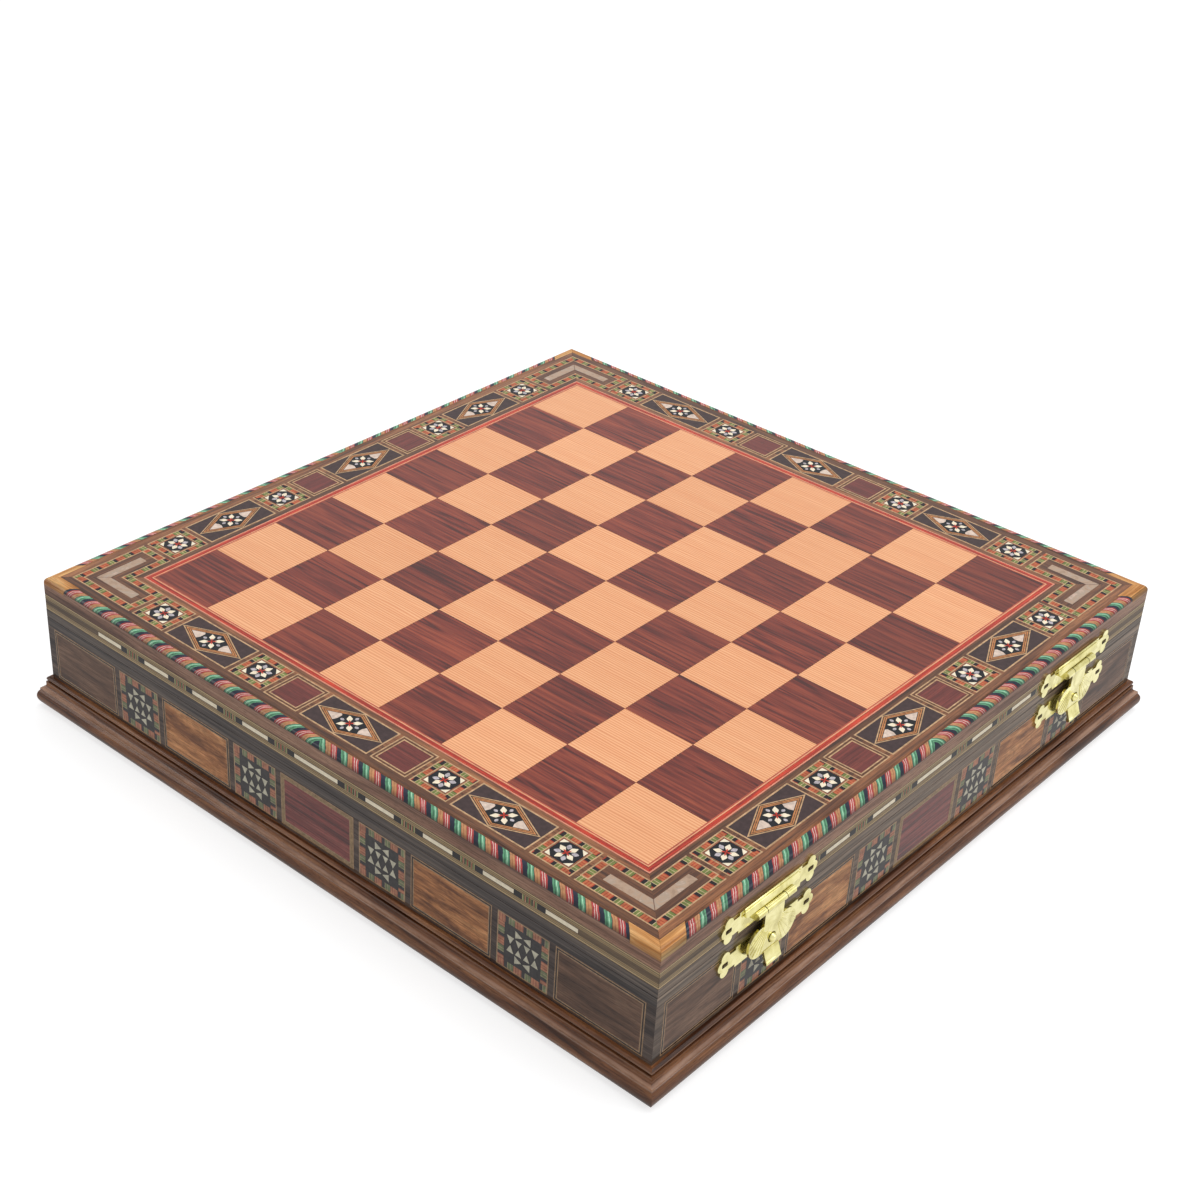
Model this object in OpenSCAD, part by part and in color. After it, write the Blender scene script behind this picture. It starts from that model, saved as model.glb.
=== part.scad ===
// Chess box: a shallow wooden box whose hinged lid carries an inlaid chess board.
// The origin is the centre of the footprint on the table, +Z is up and the clasps face -Y.

/* [Playing field] */
// Side of one square of the playing field
square_size = 30; // [28:0.5:36]
// Thickness of the squares and of everything else inlaid in the top
veneer_t = 1.2; // [0.8:0.1:2]
// Width of the pale line next to the squares
pale_line_w = 0.8; // [0.5:0.1:1.5]
// Width of the red line around it
red_line_w = 1.6; // [0.8:0.1:3]
// Width of the fine pale line around the red one
fine_line_w = 0.6; // [0.4:0.1:1.2]
// Glue joint left between neighbouring pieces of inlay
joint = 0.1; // [0.04:0.02:0.2]

/* [Inlaid border] */
// Walnut margin between the lines and the band of tiles
inner_margin = 2.4; // [1.5:0.1:5]
// Width of the band of tiles
band_w = 16.2; // [14:0.1:20]
// Walnut margin between the band and the edge strip
outer_margin = 3.1; // [2:0.1:6]
// Length of a star tile along the band
star_tile_l = 17; // [14:0.5:19]
// Length of a red tile along the band
red_tile_l = 16.6; // [14:0.2:19]
// Length of a diamond tile along the band
diamond_tile_l = 33; // [28:0.5:36]
// Walnut bar left between two tiles
tile_gap = 1.6; // [1:0.1:3]
// Width of the shell chevron's bars in a corner tile
shell_w = 3.8; // [2:0.1:5]
// Walnut left past the end of a chevron's bar, to the end of the corner tile
shell_end = 6.4; // [6:0.2:12]

/* [Edge strip] */
// Width of the striped edge strip on the top face
edge_w = 4.5; // [3.5:0.1:7]
// Height of the edge strip on the side of the lid
edge_h = 3; // [2.6:0.1:5]
// Radius of its rounded outer edge
edge_round = 2.4; // [1:0.1:2.5]
// Length of the boxwood pieces that end the strips at a corner
corner_block_l = 12; // [8:0.5:20]

/* [Lid] */
// Height of the lid from the seam to the playing surface
lid_h = 17.3; // [15.5:0.1:26]
// Thickness of the board under the veneer
core_t = 6; // [4:0.5:8]
// Thickness of the lid's side rails
rail_t = 12; // [9:0.5:16]
// Thickness of the cloth glued inside the lid
lid_lining_t = 0.8; // [0.5:0.1:2]

/* [Band on the lid's sides] */
// Distance of the band below the playing surface
side_band_drop = 7.2; // [6:0.1:7.6]
// Height of the band
side_band_h = 6.8; // [5:0.1:7]
// Depth of the inlay on the sides of lid and base
inlay_t = 1; // [0.6:0.1:2]
// Length of the middle bone bar
middle_bar_l = 21.4; // [14:0.2:26]
// Length of the other bone bars
bar_l = 13.3; // [8:0.1:15]
// Distance between two bone bars
bar_gap = 13.35; // [8:0.05:15]
// Height of a bone bar
bar_h = 1.7; // [1:0.1:3]
// Depth of a bone bar
bar_t = 0.5; // [0.3:0.1:0.5]
// Bone bars on each side of the middle one
bars = 4; // [2:1:4]

/* [Base] */
// Height of the base's walls
wall_h = 27.2; // [25.5:0.1:45]
// Thickness of the base's walls
wall_t = 12; // [9:0.5:16]
// Gap between the closed lid and the base
seam_gap = 0.2; // [0.1:0.05:0.5]
// Height of the inlaid panels
panel_h = 22; // [18:0.5:23]
// Height of the panels above the plinth
panel_rise = 1.2; // [0.8:0.1:2]
// Plain wall between two panels
panel_gap = 2.6; // [1.5:0.1:5]
// Plain wall between the last panel and the corner
panel_end = 3.9; // [2.5:0.1:8]

/* [Plinth] */
// Height of the plinth
plinth_h = 13.3; // [12.4:0.1:20]
// How far the plinth stands out from the walls
overhang = 5; // [4.8:0.1:8]
// How far the plinth reaches in from the walls' outer face
plinth_in = 22; // [18:0.5:30]
// Radius of the bead against the wall
bead_r = 1; // [0.6:0.1:1.2]
// Radius of the cove under the bead
cove_r = 1.8; // [1.2:0.1:2.2]
// Step between the cove and the rounded nose
nose_step = 1.1; // [0.6:0.1:1.5]
// Height of the nose's top edge
nose_h = 8; // [7.4:0.1:8.2]
// Radius of the rounded nose
nose_r = 4.4; // [4:0.1:4.8]
// Thickness of the bottom panel
bottom_t = 4; // [3:0.5:5]
// Distance of the bottom panel's edge from the walls' outer face
bottom_seat = 8; // [4:0.5:8.5]

/* [Compartments] */
// Thickness of the cloth glued on the bottom panel
lining_t = 1.2; // [0.8:0.1:2.5]
// Thickness of the divider slats
divider_t = 2.4; // [1.6:0.1:4]
// Height of the divider slats
divider_h = 23.6; // [16:0.1:24]
// Compartments from left to right
columns = 8; // [4:1:8]
// Compartments from front to back
rows = 4; // [2:1:4]
// Clearance of linings and slats in the box, and of the slats in each other
fit_gap = 0.2; // [0.1:0.05:0.3]

/* [Hinges] */
// Length of a hinge
hinge_l = 38; // [26:1:50]
// Distance of a hinge's middle from the side of the box
hinge_inset = 60; // [35:1:80]
// Thickness of a hinge leaf
leaf_t = 1; // [0.8:0.1:1.2]
// Width of a hinge leaf on the wood
leaf_w = 8.5; // [7:0.1:8.6]
// Radius of the hinge barrel
barrel_r = 2.2; // [2:0.05:2.3]
// Gap between the barrel and the back of the box
barrel_gap = 0.3; // [0.2:0.05:0.4]
// Radius of the hinge pin
hinge_pin_r = 1.1; // [0.8:0.05:1.2]
// Radial clearance of the hinge and clasp pins in their knuckles
pin_play = 0.05; // [0.03:0.01:0.08]
// Knuckles in a hinge barrel
knuckles = 5; // [3:2:7]
// Gap between two knuckles
knuckle_gap = 0.3; // [0.2:0.05:0.4]
// Radius of a screw's countersunk head
screw_head_r = 1.9; // [1.6:0.1:2.2]
// Radius of a screw's shank
screw_r = 0.9; // [0.7:0.1:1.1]
// Length of a screw
screw_l = 8; // [5:0.5:9]
// Screws in a leaf
leaf_screws = 3; // [2:1:3]

/* [Clasps] */
// Distance of a clasp's middle from the side of the box
clasp_inset = 54.2; // [40:0.2:70]
// Length of a clasp plate
plate_l = 50; // [46:0.5:56]
// Height of a plate's middle part
plate_h = 8.2; // [6.6:0.1:8.8]
// Thickness of a plate
plate_t = 0.8; // [0.6:0.05:0.9]
// Radius of the lobes at the ends of a plate
lobe_r = 2.1; // [1.8:0.1:2.4]
// Height of the upper plate's middle above the seam
plate_rise = 6.4; // [5.6:0.1:7]
// Depth of the lower plate's middle below the seam
plate_drop = 7.1; // [6:0.1:8]
// Distance of the clasp's pin from the face of the box
clasp_pin_off = 2.5; // [2.4:0.05:2.6]
// Radius of the clasp's knuckles
clasp_knuckle_r = 1.4; // [1.2:0.05:1.4]
// Radius of the clasp's pin
clasp_pin_r = 0.6; // [0.5:0.05:0.7]
// Width of the tongue's neck
neck_w = 10; // [8:0.5:12]
// Width of the knuckle on each side of the tongue
ear_w = 4.5; // [3:0.1:5]
// Thickness of the tongue
tongue_t = 0.9; // [0.7:0.05:1]
// Distance of the fan's middle below the pin
fan_drop = 12.2; // [11:0.1:13]
// Radius of each half of the fan
fan_r = 5.8; // [5:0.1:6]
// Distance of each half's middle from the centre line
fan_x = 6.5; // [5.5:0.1:7]
// Radius of the hole in the tongue
tongue_hole_r = 2; // [1.7:0.1:2.4]
// How much narrower a plate's arms are than its middle part, at each edge
waist_inset = 1.2; // [0.8:0.1:1.6]
// Distance of the knob's middle below the fan's middle
knob_drop = 1.4; // [1:0.1:1.8]
// Distance of the plate's ribs from its upper edge
rib_inset = 0.9; // [0.6:0.1:1.2]
// Radius of the knob on the lower plate
knob_r = 1.3; // [1:0.1:1.5]
// Gap between the knob and the back of the tongue
knob_gap = 0.3; // [0.25:0.05:0.5]
// Length of the thumb lip
lip_l = 5.2; // [4:0.1:5.5]
// Width of the thumb lip
lip_w = 7.8; // [7:0.2:9.8]
// Outward slant of the thumb lip in degrees
lip_tilt = 20; // [10:1:22]
// Radius of a nail's shank
nail_r = 0.55; // [0.4:0.05:0.7]
// Radius of a nail's head
nail_head_r = 1.3; // [1:0.05:1.5]
// Height of a nail's head
nail_head_h = 0.5; // [0.3:0.05:0.7]
// Length of a nail's shank
nail_l = 7; // [5:0.5:9]

/* [Hidden] */
$fn = 64;

// The field is always eight squares wide
squares = 8;
// Cutters reach this far past the faces they cut
past = 1;

// Half widths of the rings of the top, from the squares outwards
field_half = squares * square_size / 2;
pale_half = field_half + pale_line_w;
red_half = pale_half + red_line_w;
fine_half = red_half + fine_line_w;
band_in = fine_half + inner_margin;
band_out = band_in + band_w;
ground_half = band_out + outer_margin;
half = ground_half + edge_w;

// Heights, from the table upwards
wall_top = plinth_h + wall_h;
pin_z = wall_top + seam_gap / 2;
rail_z = wall_top + seam_gap;
top_z = rail_z + lid_h;
veneer_z = top_z - veneer_t;
core_z = veneer_z - core_t;
edge_z = top_z - edge_h;
side_band_z = top_z - side_band_drop - side_band_h;
panel_z = plinth_h + panel_rise;
lining_z = plinth_h + lining_t;
divider_z = lining_z + divider_h;

// Inside of the box
inside = half - wall_t;
column_w = (2 * inside - (columns - 1) * divider_t) / columns;
row_l = (2 * inside - (rows - 1) * divider_t) / rows;

// Tiles of one side of the border: kind, distance of the middle from the centre, length
red_x = diamond_tile_l / 2 + tile_gap + red_tile_l / 2;
star_x = red_x + red_tile_l / 2 + tile_gap + star_tile_l / 2;
diamond_x = star_x + star_tile_l / 2 + tile_gap + diamond_tile_l / 2;
last_star_x = diamond_x + diamond_tile_l / 2 + tile_gap + star_tile_l / 2;
corner_in = last_star_x + star_tile_l / 2 + tile_gap;
half_row = [
    ["red", red_x, red_tile_l], ["star", star_x, star_tile_l],
    ["diamond", diamond_x, diamond_tile_l], ["star", last_star_x, star_tile_l]
];
tile_row = concat(
    [["diamond", 0, diamond_tile_l]],
    half_row,
    [for (tile = half_row) [tile[0], -tile[1], tile[2]]]
);
shell_in = corner_in + shell_end;

// Panels of one wall: kind, distance of the left edge from the centre, length
mosaic_l = panel_h;
long_panel_l = (2 * (half - panel_end) - 8 * panel_gap - 4 * mosaic_l) / 5;
panel_kinds = ["walnut", "mosaic", "burl", "mosaic", "red", "mosaic", "burl", "mosaic", "walnut"];
function panel_l(i) = panel_kinds[i] == "mosaic" ? mosaic_l : long_panel_l;
function panel_x(i) = i == 0 ? panel_end - half : panel_x(i - 1) + panel_l(i - 1) + panel_gap;

// Bone bars of one side: distance of the middle from the centre, length
first_bar_x = middle_bar_l / 2 + bar_gap + bar_l / 2;
bar_row = concat(
    [[0, middle_bar_l]],
    [for (side = [-1, 1], i = [0 : bars - 1]) [side * (first_bar_x + i * (bar_l + bar_gap)), bar_l]]
);
bar_z = side_band_z + (side_band_h - bar_h) / 2;

// Plinth profile, measured outwards from the wall
shoulder_u = overhang - nose_step;
step_u = shoulder_u - cove_r;
nose_z = nose_r - 0.1;
bead_out = 0.9 * bead_r;
quirk = 0.2;

// Hinges
hinge_x = half - hinge_inset;
pin_y = half + barrel_gap + barrel_r;
knuckle_pitch = hinge_l / knuckles;
screw_y = half - leaf_w / 2;
screw_head_h = screw_head_r - screw_r;

// Clasps
clasp_x = half - clasp_inset;
plate_z = rail_z + plate_rise;
keeper_z = wall_top - plate_drop;
clasp_pin_z = plate_z - 0.4;
tip_out = 0.7 * lobe_r;
foil_x = plate_l / 2 - lobe_r - tip_out;
body_l = 2 * (foil_x - 2.5 * lobe_r);
neck_z = plate_h / 2 - waist_inset;
ear_x = neck_w / 2 + knuckle_gap;
tongue_y = clasp_pin_off - tongue_t / 2;
lip_drop = fan_drop + fan_r;
keeper_knob_z = clasp_pin_z - fan_drop - knob_drop;
rib_t = 0.3;
rib_w = 0.5;
rib_z = plate_z + plate_h / 2 - rib_inset;
rib_pitch = 1.2;
nail_top_r = 0.6 * nail_head_r;

// Colours of the solids
walnut = "#6b4a33";
dark_walnut = "#4a3126";
boxwood = "#d9a35a";
light_wood = "#e0a070";
rosewood = "#7a2b1c";
brass = "#d4b24a";
bone = "#ece3cb";
felt = "#5e1f24";

// One member of a mitred frame, cut from a block: its outer face lies at -Y
module mitred(outer, width, low, high) {
    intersection() {
        children();
        translate([0, 0, low - past])
            linear_extrude(high - low + 2 * past)
                polygon([
                    [-outer, -outer], [outer, -outer],
                    [outer - width, width - outer], [width - outer, width - outer]
                ]);
    }
}

// A profile drawn outwards along X and up along Y, run along the front from -reach to reach
module run(reach) {
    translate([-reach, 0, 0])
        rotate([90, 0, 90])
            linear_extrude(2 * reach)
                mirror([1, 0])
                    children();
}

// A flat square ring in the veneer
module veneer_ring(inner, outer) {
    translate([0, 0, veneer_z])
        linear_extrude(veneer_t)
            difference() {
                square(2 * outer - joint, center = true);
                square(2 * inner + joint, center = true);
            }
}

// ---- Plinth and bottom ----

// Section of the plinth: bead, cove, step and rounded nose, with the bottom panel's rebate
module plinth_section() {
    difference() {
        union() {
            translate([half - plinth_in, 0])
                square([plinth_in, plinth_h]);
            translate([half, 0])
                square([step_u, plinth_h - 2 * bead_r - quirk]);
            translate([half, plinth_h - 2 * bead_r - quirk])
                square([bead_r / 2, bead_r]);
            translate([half + bead_out, plinth_h - bead_r])
                circle(bead_r);
            translate([half, plinth_h - 2 * bead_r])
                square([bead_out, 2 * bead_r]);
            translate([half, nose_z])
                square([shoulder_u, nose_h - nose_z]);
            difference() {
                translate([half + step_u, nose_h - quirk])
                    square([cove_r, cove_r + quirk]);
                translate([half + shoulder_u, nose_h + cove_r])
                    circle(cove_r);
            }
            intersection() {
                translate([half + overhang - nose_r, nose_z])
                    circle(nose_r);
                translate([half - nose_r, 0])
                    square([overhang + nose_r, nose_z + nose_r]);
            }
        }
        translate([half - plinth_in - past, plinth_h - bottom_t])
            square([plinth_in - bottom_seat + past, bottom_t + past]);
    }
}

module plinth_member(turn) {
    color(dark_walnut)
        rotate(90 * turn)
            mitred(half + overhang, overhang + plinth_in, 0, plinth_h)
                run(half + overhang)
                    plinth_section();
}

module bottom_panel() {
    panel_half = half - bottom_seat - joint;
    color("#8d6e53")
        translate([-panel_half, -panel_half, plinth_h - bottom_t])
            cube([2 * panel_half, 2 * panel_half, bottom_t]);
}

// ---- Walls of the base ----

// What the inlaid panels of one kind fill, or all panels for the kind "any"
module panel_blocks(kind, shrink, deeper) {
    for (i = [0 : len(panel_kinds) - 1])
        if (kind == "any" || panel_kinds[i] == kind)
            translate([panel_x(i) + shrink, -half - deeper, panel_z + shrink])
                cube([panel_l(i) - 2 * shrink, inlay_t + deeper, panel_h - 2 * shrink]);
}

module base_wall(turn) {
    color(walnut)
        difference() {
            rotate(90 * turn)
                difference() {
                    translate([0, 0, plinth_h])
                        linear_extrude(wall_h)
                            polygon([
                                [-half, -half], [half, -half],
                                [half - wall_t, wall_t - half], [wall_t - half, wall_t - half]
                            ]);
                    panel_blocks("any", 0, past);
                }
            if (turn == 2)
                leaf_seats(-1, wall_top - leaf_t);
            if (turn == 0)
                nail_holes(keeper_z);
        }
}

module side_panels(kind, shade) {
    color(shade)
        difference() {
            for (turn = [0 : 3])
                rotate(90 * turn)
                    panel_blocks(kind, joint / 2, 0);
            nail_holes(keeper_z);
        }
}

// ---- Inside of the base ----

module base_lining() {
    lining_half = inside - fit_gap;
    color(felt)
        translate([-lining_half, -lining_half, plinth_h])
            cube([2 * lining_half, 2 * lining_half, lining_t]);
}

// Slats along X, notched from above where the cross slats pass
module long_dividers() {
    color(walnut)
        for (row = [1 : rows - 1])
            translate([0, row * (row_l + divider_t) - divider_t / 2 - inside, 0])
                difference() {
                    translate([fit_gap - inside, -divider_t / 2, lining_z])
                        cube([2 * (inside - fit_gap), divider_t, divider_h]);
                    for (column = [1 : columns - 1])
                        slat_notch(column * (column_w + divider_t) - divider_t / 2 - inside, divider_h / 2);
                }
}

// Slats along Y, notched from below where the long slats pass
module cross_dividers() {
    color(walnut)
        for (column = [1 : columns - 1])
            translate([column * (column_w + divider_t) - divider_t / 2 - inside, 0, 0])
                rotate(90)
                    difference() {
                        translate([fit_gap - inside, -divider_t / 2, lining_z])
                            cube([2 * (inside - fit_gap), divider_t, divider_h]);
                        for (row = [1 : rows - 1])
                            slat_notch(row * (row_l + divider_t) - divider_t / 2 - inside, -past);
                    }
}

// A notch at x that starts the given height above the lining and is half a slat deep
module slat_notch(x, start) {
    notch_w = divider_t + fit_gap;
    notch_h = divider_h / 2 + past;
    translate([x - notch_w / 2, -divider_t / 2 - past, lining_z + start])
        cube([notch_w, divider_t + 2 * past, notch_h]);
}

// ---- Lid ----

// Section of a lid rail, rebated inside its top for the board
module rail_section() {
    difference() {
        translate([half - rail_t, rail_z])
            square([rail_t, edge_z - rail_z]);
        translate([half - rail_t - past, core_z])
            square([rail_t + past - edge_w, edge_z - core_z + past]);
        translate([half - inlay_t, side_band_z])
            square([inlay_t + past, side_band_h]);
    }
}

module lid_rail(turn) {
    color(walnut)
        difference() {
            rotate(90 * turn)
                mitred(half, rail_t, rail_z, edge_z)
                    run(half)
                        rail_section();
            if (turn == 2)
                leaf_seats(1, rail_z);
            if (turn == 0)
                nail_holes(plate_z);
        }
}

module board_core() {
    core_half = ground_half - joint / 2;
    color("#9a7b58")
        translate([-core_half, -core_half, core_z])
            cube([2 * core_half, 2 * core_half, core_t]);
}

module lid_lining() {
    lining_half = half - rail_t - fit_gap;
    color(felt)
        translate([-lining_half, -lining_half, core_z - lid_lining_t])
            cube([2 * lining_half, 2 * lining_half, lid_lining_t]);
}

// ---- Playing field ----

// Squares whose column and row add up to an even number (parity 0) or an odd one
module field_squares(parity, shade) {
    color(shade)
        for (column = [0 : squares - 1], row = [0 : squares - 1])
            if ((column + row) % 2 == parity)
                translate([
                    column * square_size - field_half + joint / 2,
                    row * square_size - field_half + joint / 2,
                    veneer_z
                ])
                    cube([square_size - joint, square_size - joint, veneer_t]);
}

module field_pale_lines() {
    color(bone) {
        veneer_ring(field_half, pale_half);
        veneer_ring(red_half, fine_half);
    }
}

module field_red_line() {
    color("#a02c1e")
        veneer_ring(pale_half, red_half);
}

// ---- Inlaid border ----

// Outlines of the tiles of one kind along the front
module tile_outlines(kind, shrink) {
    for (tile = tile_row)
        if (kind == "any" || tile[0] == kind)
            translate([tile[1] - tile[2] / 2 + shrink, shrink - band_out])
                square([tile[2] - 2 * shrink, band_w - 2 * shrink]);
}

// Outline of the L-shaped tile in the front left corner
module corner_outline(shrink) {
    difference() {
        translate([shrink - band_out, shrink - band_out])
            square(band_out - corner_in - 2 * shrink);
        translate([-band_in - shrink, -band_in - shrink])
            square(band_in);
    }
}

// Outline of the chevron in that tile
module chevron_outline(shrink) {
    out = band_out - (band_w - shell_w) / 2;
    difference() {
        translate([shrink - out, shrink - out])
            square(out - shell_in - 2 * shrink);
        translate([shell_w - out - shrink, shell_w - out - shrink])
            square(out);
    }
}

module border_ground() {
    color(dark_walnut)
        for (turn = [0 : 3])
            rotate(90 * turn)
                translate([0, 0, veneer_z])
                    linear_extrude(veneer_t)
                        difference() {
                            polygon([
                                [joint - ground_half, joint / 2 - ground_half],
                                [ground_half - joint, joint / 2 - ground_half],
                                [fine_half, -fine_half - joint / 2],
                                [-fine_half, -fine_half - joint / 2]
                            ]);
                            tile_outlines("any", 0);
                            corner_outline(0);
                            rotate(90)
                                corner_outline(0);
                        }
}

module border_tiles(kind, shade) {
    color(shade)
        for (turn = [0 : 3])
            rotate(90 * turn)
                translate([0, 0, veneer_z])
                    linear_extrude(veneer_t)
                        tile_outlines(kind, joint / 2);
}

module corner_tiles() {
    color("#5c2f24")
        for (turn = [0 : 3])
            rotate(90 * turn)
                translate([0, 0, veneer_z])
                    linear_extrude(veneer_t)
                        difference() {
                            corner_outline(joint / 2);
                            chevron_outline(0);
                        }
}

module shell_chevrons() {
    color(bone)
        for (turn = [0 : 3])
            rotate(90 * turn)
                translate([0, 0, veneer_z])
                    linear_extrude(veneer_t)
                        chevron_outline(joint / 2);
}

// ---- Edge strip ----

module edge_section() {
    union() {
        translate([ground_half, edge_z])
            square([edge_w - edge_round, edge_h]);
        translate([ground_half, edge_z])
            square([edge_w, edge_h - edge_round]);
        intersection() {
            translate([half - edge_round, top_z - edge_round])
                circle(edge_round);
            translate([half - edge_round, top_z - edge_round])
                square(edge_round);
        }
    }
}

module edge_strip(turn) {
    strip_half = half - corner_block_l - joint / 2;
    color("#7d8f6b")
        rotate(90 * turn)
            intersection() {
                run(strip_half)
                    edge_section();
                translate([0, 0, edge_z - past])
                    linear_extrude(edge_h + 2 * past)
                        polygon([
                            [-strip_half, -half], [strip_half, -half],
                            [strip_half - edge_w - past, edge_w + past - half],
                            [edge_w + past - strip_half, edge_w + past - half]
                        ]);
            }
}

// Two pieces at each corner, mitred together. Their other ends slant at 45 degrees too
module corner_blocks() {
    color(boxwood)
        for (turn = [0 : 3], side = [0, 1])
            rotate(90 * turn)
                mirror([side, 0, 0])
                    intersection() {
                        run(half)
                            edge_section();
                        translate([0, 0, edge_z - past])
                            linear_extrude(edge_h + 2 * past)
                                polygon([
                                    [joint / 2 - half, -half], [corner_block_l - joint / 2 - half, -half],
                                    [corner_block_l - joint / 2 + edge_w - half, edge_w - half],
                                    [joint / 2 + edge_w - half, edge_w - half]
                                ]);
                    }
}

// ---- Band on the lid's sides ----

module side_band() {
    band_half = half - joint / 2;
    color("#8a6a46")
        difference() {
            for (turn = [0 : 3])
                rotate(90 * turn)
                    difference() {
                        translate([0, 0, side_band_z + joint / 2])
                            linear_extrude(side_band_h - joint)
                                polygon([
                                    [-band_half, -half], [band_half, -half],
                                    [band_half - inlay_t, inlay_t - half],
                                    [inlay_t - band_half, inlay_t - half]
                                ]);
                        bar_blocks(0, past);
                    }
            nail_holes(plate_z);
        }
}

module bar_blocks(shrink, deeper) {
    for (bar = bar_row)
        translate([bar[0] - bar[1] / 2 + shrink, -half - deeper, bar_z + shrink])
            cube([bar[1] - 2 * shrink, bar_t + deeper, bar_h - 2 * shrink]);
}

module bone_bars() {
    color(bone)
        difference() {
            for (turn = [0 : 3])
                rotate(90 * turn)
                    bar_blocks(joint / 2, 0);
            nail_holes(plate_z);
        }
}

// ---- Hinges ----

// Room in the wood for two leaves and their screws; dir is 1 in the lid and -1 in the base
module leaf_seats(dir, low) {
    for (side = [-1, 1]) {
        translate([
            side * hinge_x - hinge_l / 2 - joint / 2,
            half - leaf_w - joint / 2,
            low - (dir > 0 ? past : 0)
        ])
            cube([hinge_l + joint, leaf_w + past + joint, leaf_t + past]);
        at_leaf_screws(side)
            leaf_screw(dir, joint / 2);
    }
}

// Places what follows at each screw of the leaf on the given side of the box
module at_leaf_screws(side) {
    for (i = [0 : leaf_screws - 1])
        translate([side * hinge_x + hinge_l * ((i + 0.5) / leaf_screws - 0.5), screw_y, 0])
            children();
}

// One leaf with its knuckles; dir is 1 for the lid's leaf and -1 for the base's
module hinge_leaf(side, dir) {
    first = dir > 0 ? 1 : 0;
    leaf_z = dir > 0 ? rail_z : wall_top - leaf_t;
    color(brass)
        difference() {
            union() {
                translate([side * hinge_x - hinge_l / 2, half - leaf_w, leaf_z])
                    cube([hinge_l, leaf_w, leaf_t]);
                for (i = [first : 2 : knuckles - 1])
                    translate([side * hinge_x - hinge_l / 2 + i * knuckle_pitch + knuckle_gap / 2, 0, 0]) {
                        translate([0, pin_y, pin_z])
                            rotate([0, 90, 0])
                                cylinder(h = knuckle_pitch - knuckle_gap, r = barrel_r);
                        translate([0, half - past, leaf_z])
                            cube([knuckle_pitch - knuckle_gap, past + barrel_gap + barrel_r / 2, leaf_t]);
                    }
            }
            translate([side * hinge_x - hinge_l / 2 - past, pin_y, pin_z])
                rotate([0, 90, 0])
                    cylinder(h = hinge_l + 2 * past, r = hinge_pin_r + pin_play);
            at_leaf_screws(side)
                leaf_screw(dir, pin_play);
        }
}

// A countersunk screw whose head is flush with the leaf's face in the seam
module leaf_screw(dir, play) {
    translate([0, 0, pin_z + dir * seam_gap / 2])
        mirror([0, 0, dir > 0 ? 0 : 1]) {
            cylinder(h = screw_head_h + play, r1 = screw_head_r + play, r2 = screw_r);
            cylinder(h = screw_l + play, r = screw_r + play);
        }
}

module leaf_screws_all(dir) {
    color(brass)
        for (side = [-1, 1])
            at_leaf_screws(side)
                leaf_screw(dir, 0);
}

module hinge_pin(side) {
    color(brass)
        translate([side * hinge_x - hinge_l / 2, pin_y, pin_z])
            rotate([0, 90, 0])
                cylinder(h = hinge_l, r = hinge_pin_r);
}

// ---- Clasps ----

// Places a drawing in X and Z on the front face, at one clasp and one height, off the face
module on_front(side, z, off) {
    translate([side * clasp_x, -half - off, z])
        rotate([90, 0, 0])
            children();
}

// Outline of both plates: a plain middle, a narrow neck and three lobes at each end
module plate_outline() {
    difference() {
        union() {
            square([body_l, plate_h], center = true);
            square([2 * foil_x, 2 * neck_z], center = true);
            for (side = [-1, 1])
                translate([side * foil_x, 0]) {
                    translate([0, neck_z])
                        circle(lobe_r);
                    translate([0, -neck_z])
                        circle(lobe_r);
                    translate([side * tip_out, 0])
                        circle(lobe_r);
                }
        }
        for (side = [-1, 1])
            translate([side * foil_x, 0])
                circle(nail_r + pin_play);
    }
}

// The plate on the lid, with two ribs and an ear on each side of the tongue
module clasp_plate(side) {
    color(brass)
        difference() {
            union() {
                on_front(side, plate_z, 0)
                    linear_extrude(plate_t)
                        plate_outline();
                for (rib = [0, 1])
                    on_front(side, rib_z - rib_pitch * rib, plate_t - rib_t)
                        linear_extrude(2 * rib_t)
                            square([body_l - lobe_r, rib_w], center = true);
                for (ear = [-1, 1])
                    on_front(side, clasp_pin_z, 0)
                        translate([ear * (ear_x + ear_w / 2), 0, 0]) {
                            translate([-ear_w / 2, -clasp_knuckle_r, 0])
                                cube([ear_w, 2 * clasp_knuckle_r, clasp_pin_off]);
                            translate([-ear_w / 2, 0, clasp_pin_off])
                                rotate([0, 90, 0])
                                    cylinder(h = ear_w, r = clasp_knuckle_r);
                        }
            }
            clasp_bore(side);
        }
}

module clasp_bore(side) {
    bore_l = 2 * (ear_x + ear_w + past);
    on_front(side, clasp_pin_z, clasp_pin_off)
        translate([-bore_l / 2, 0, 0])
            rotate([0, 90, 0])
                cylinder(h = bore_l, r = clasp_pin_r + pin_play);
}

module clasp_pin(side) {
    pin_l = 2 * (ear_x + ear_w);
    color(brass)
        on_front(side, clasp_pin_z, clasp_pin_off)
            translate([-pin_l / 2, 0, 0])
                rotate([0, 90, 0])
                    cylinder(h = pin_l, r = clasp_pin_r);
}

// The plate on the base, with the knob that shows in the tongue's hole
module clasp_keeper(side) {
    color(brass)
        union() {
            on_front(side, keeper_z, 0)
                linear_extrude(plate_t)
                    plate_outline();
            on_front(side, keeper_knob_z, 0)
                cylinder(h = tongue_y - knob_gap, r = knob_r);
        }
}

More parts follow.
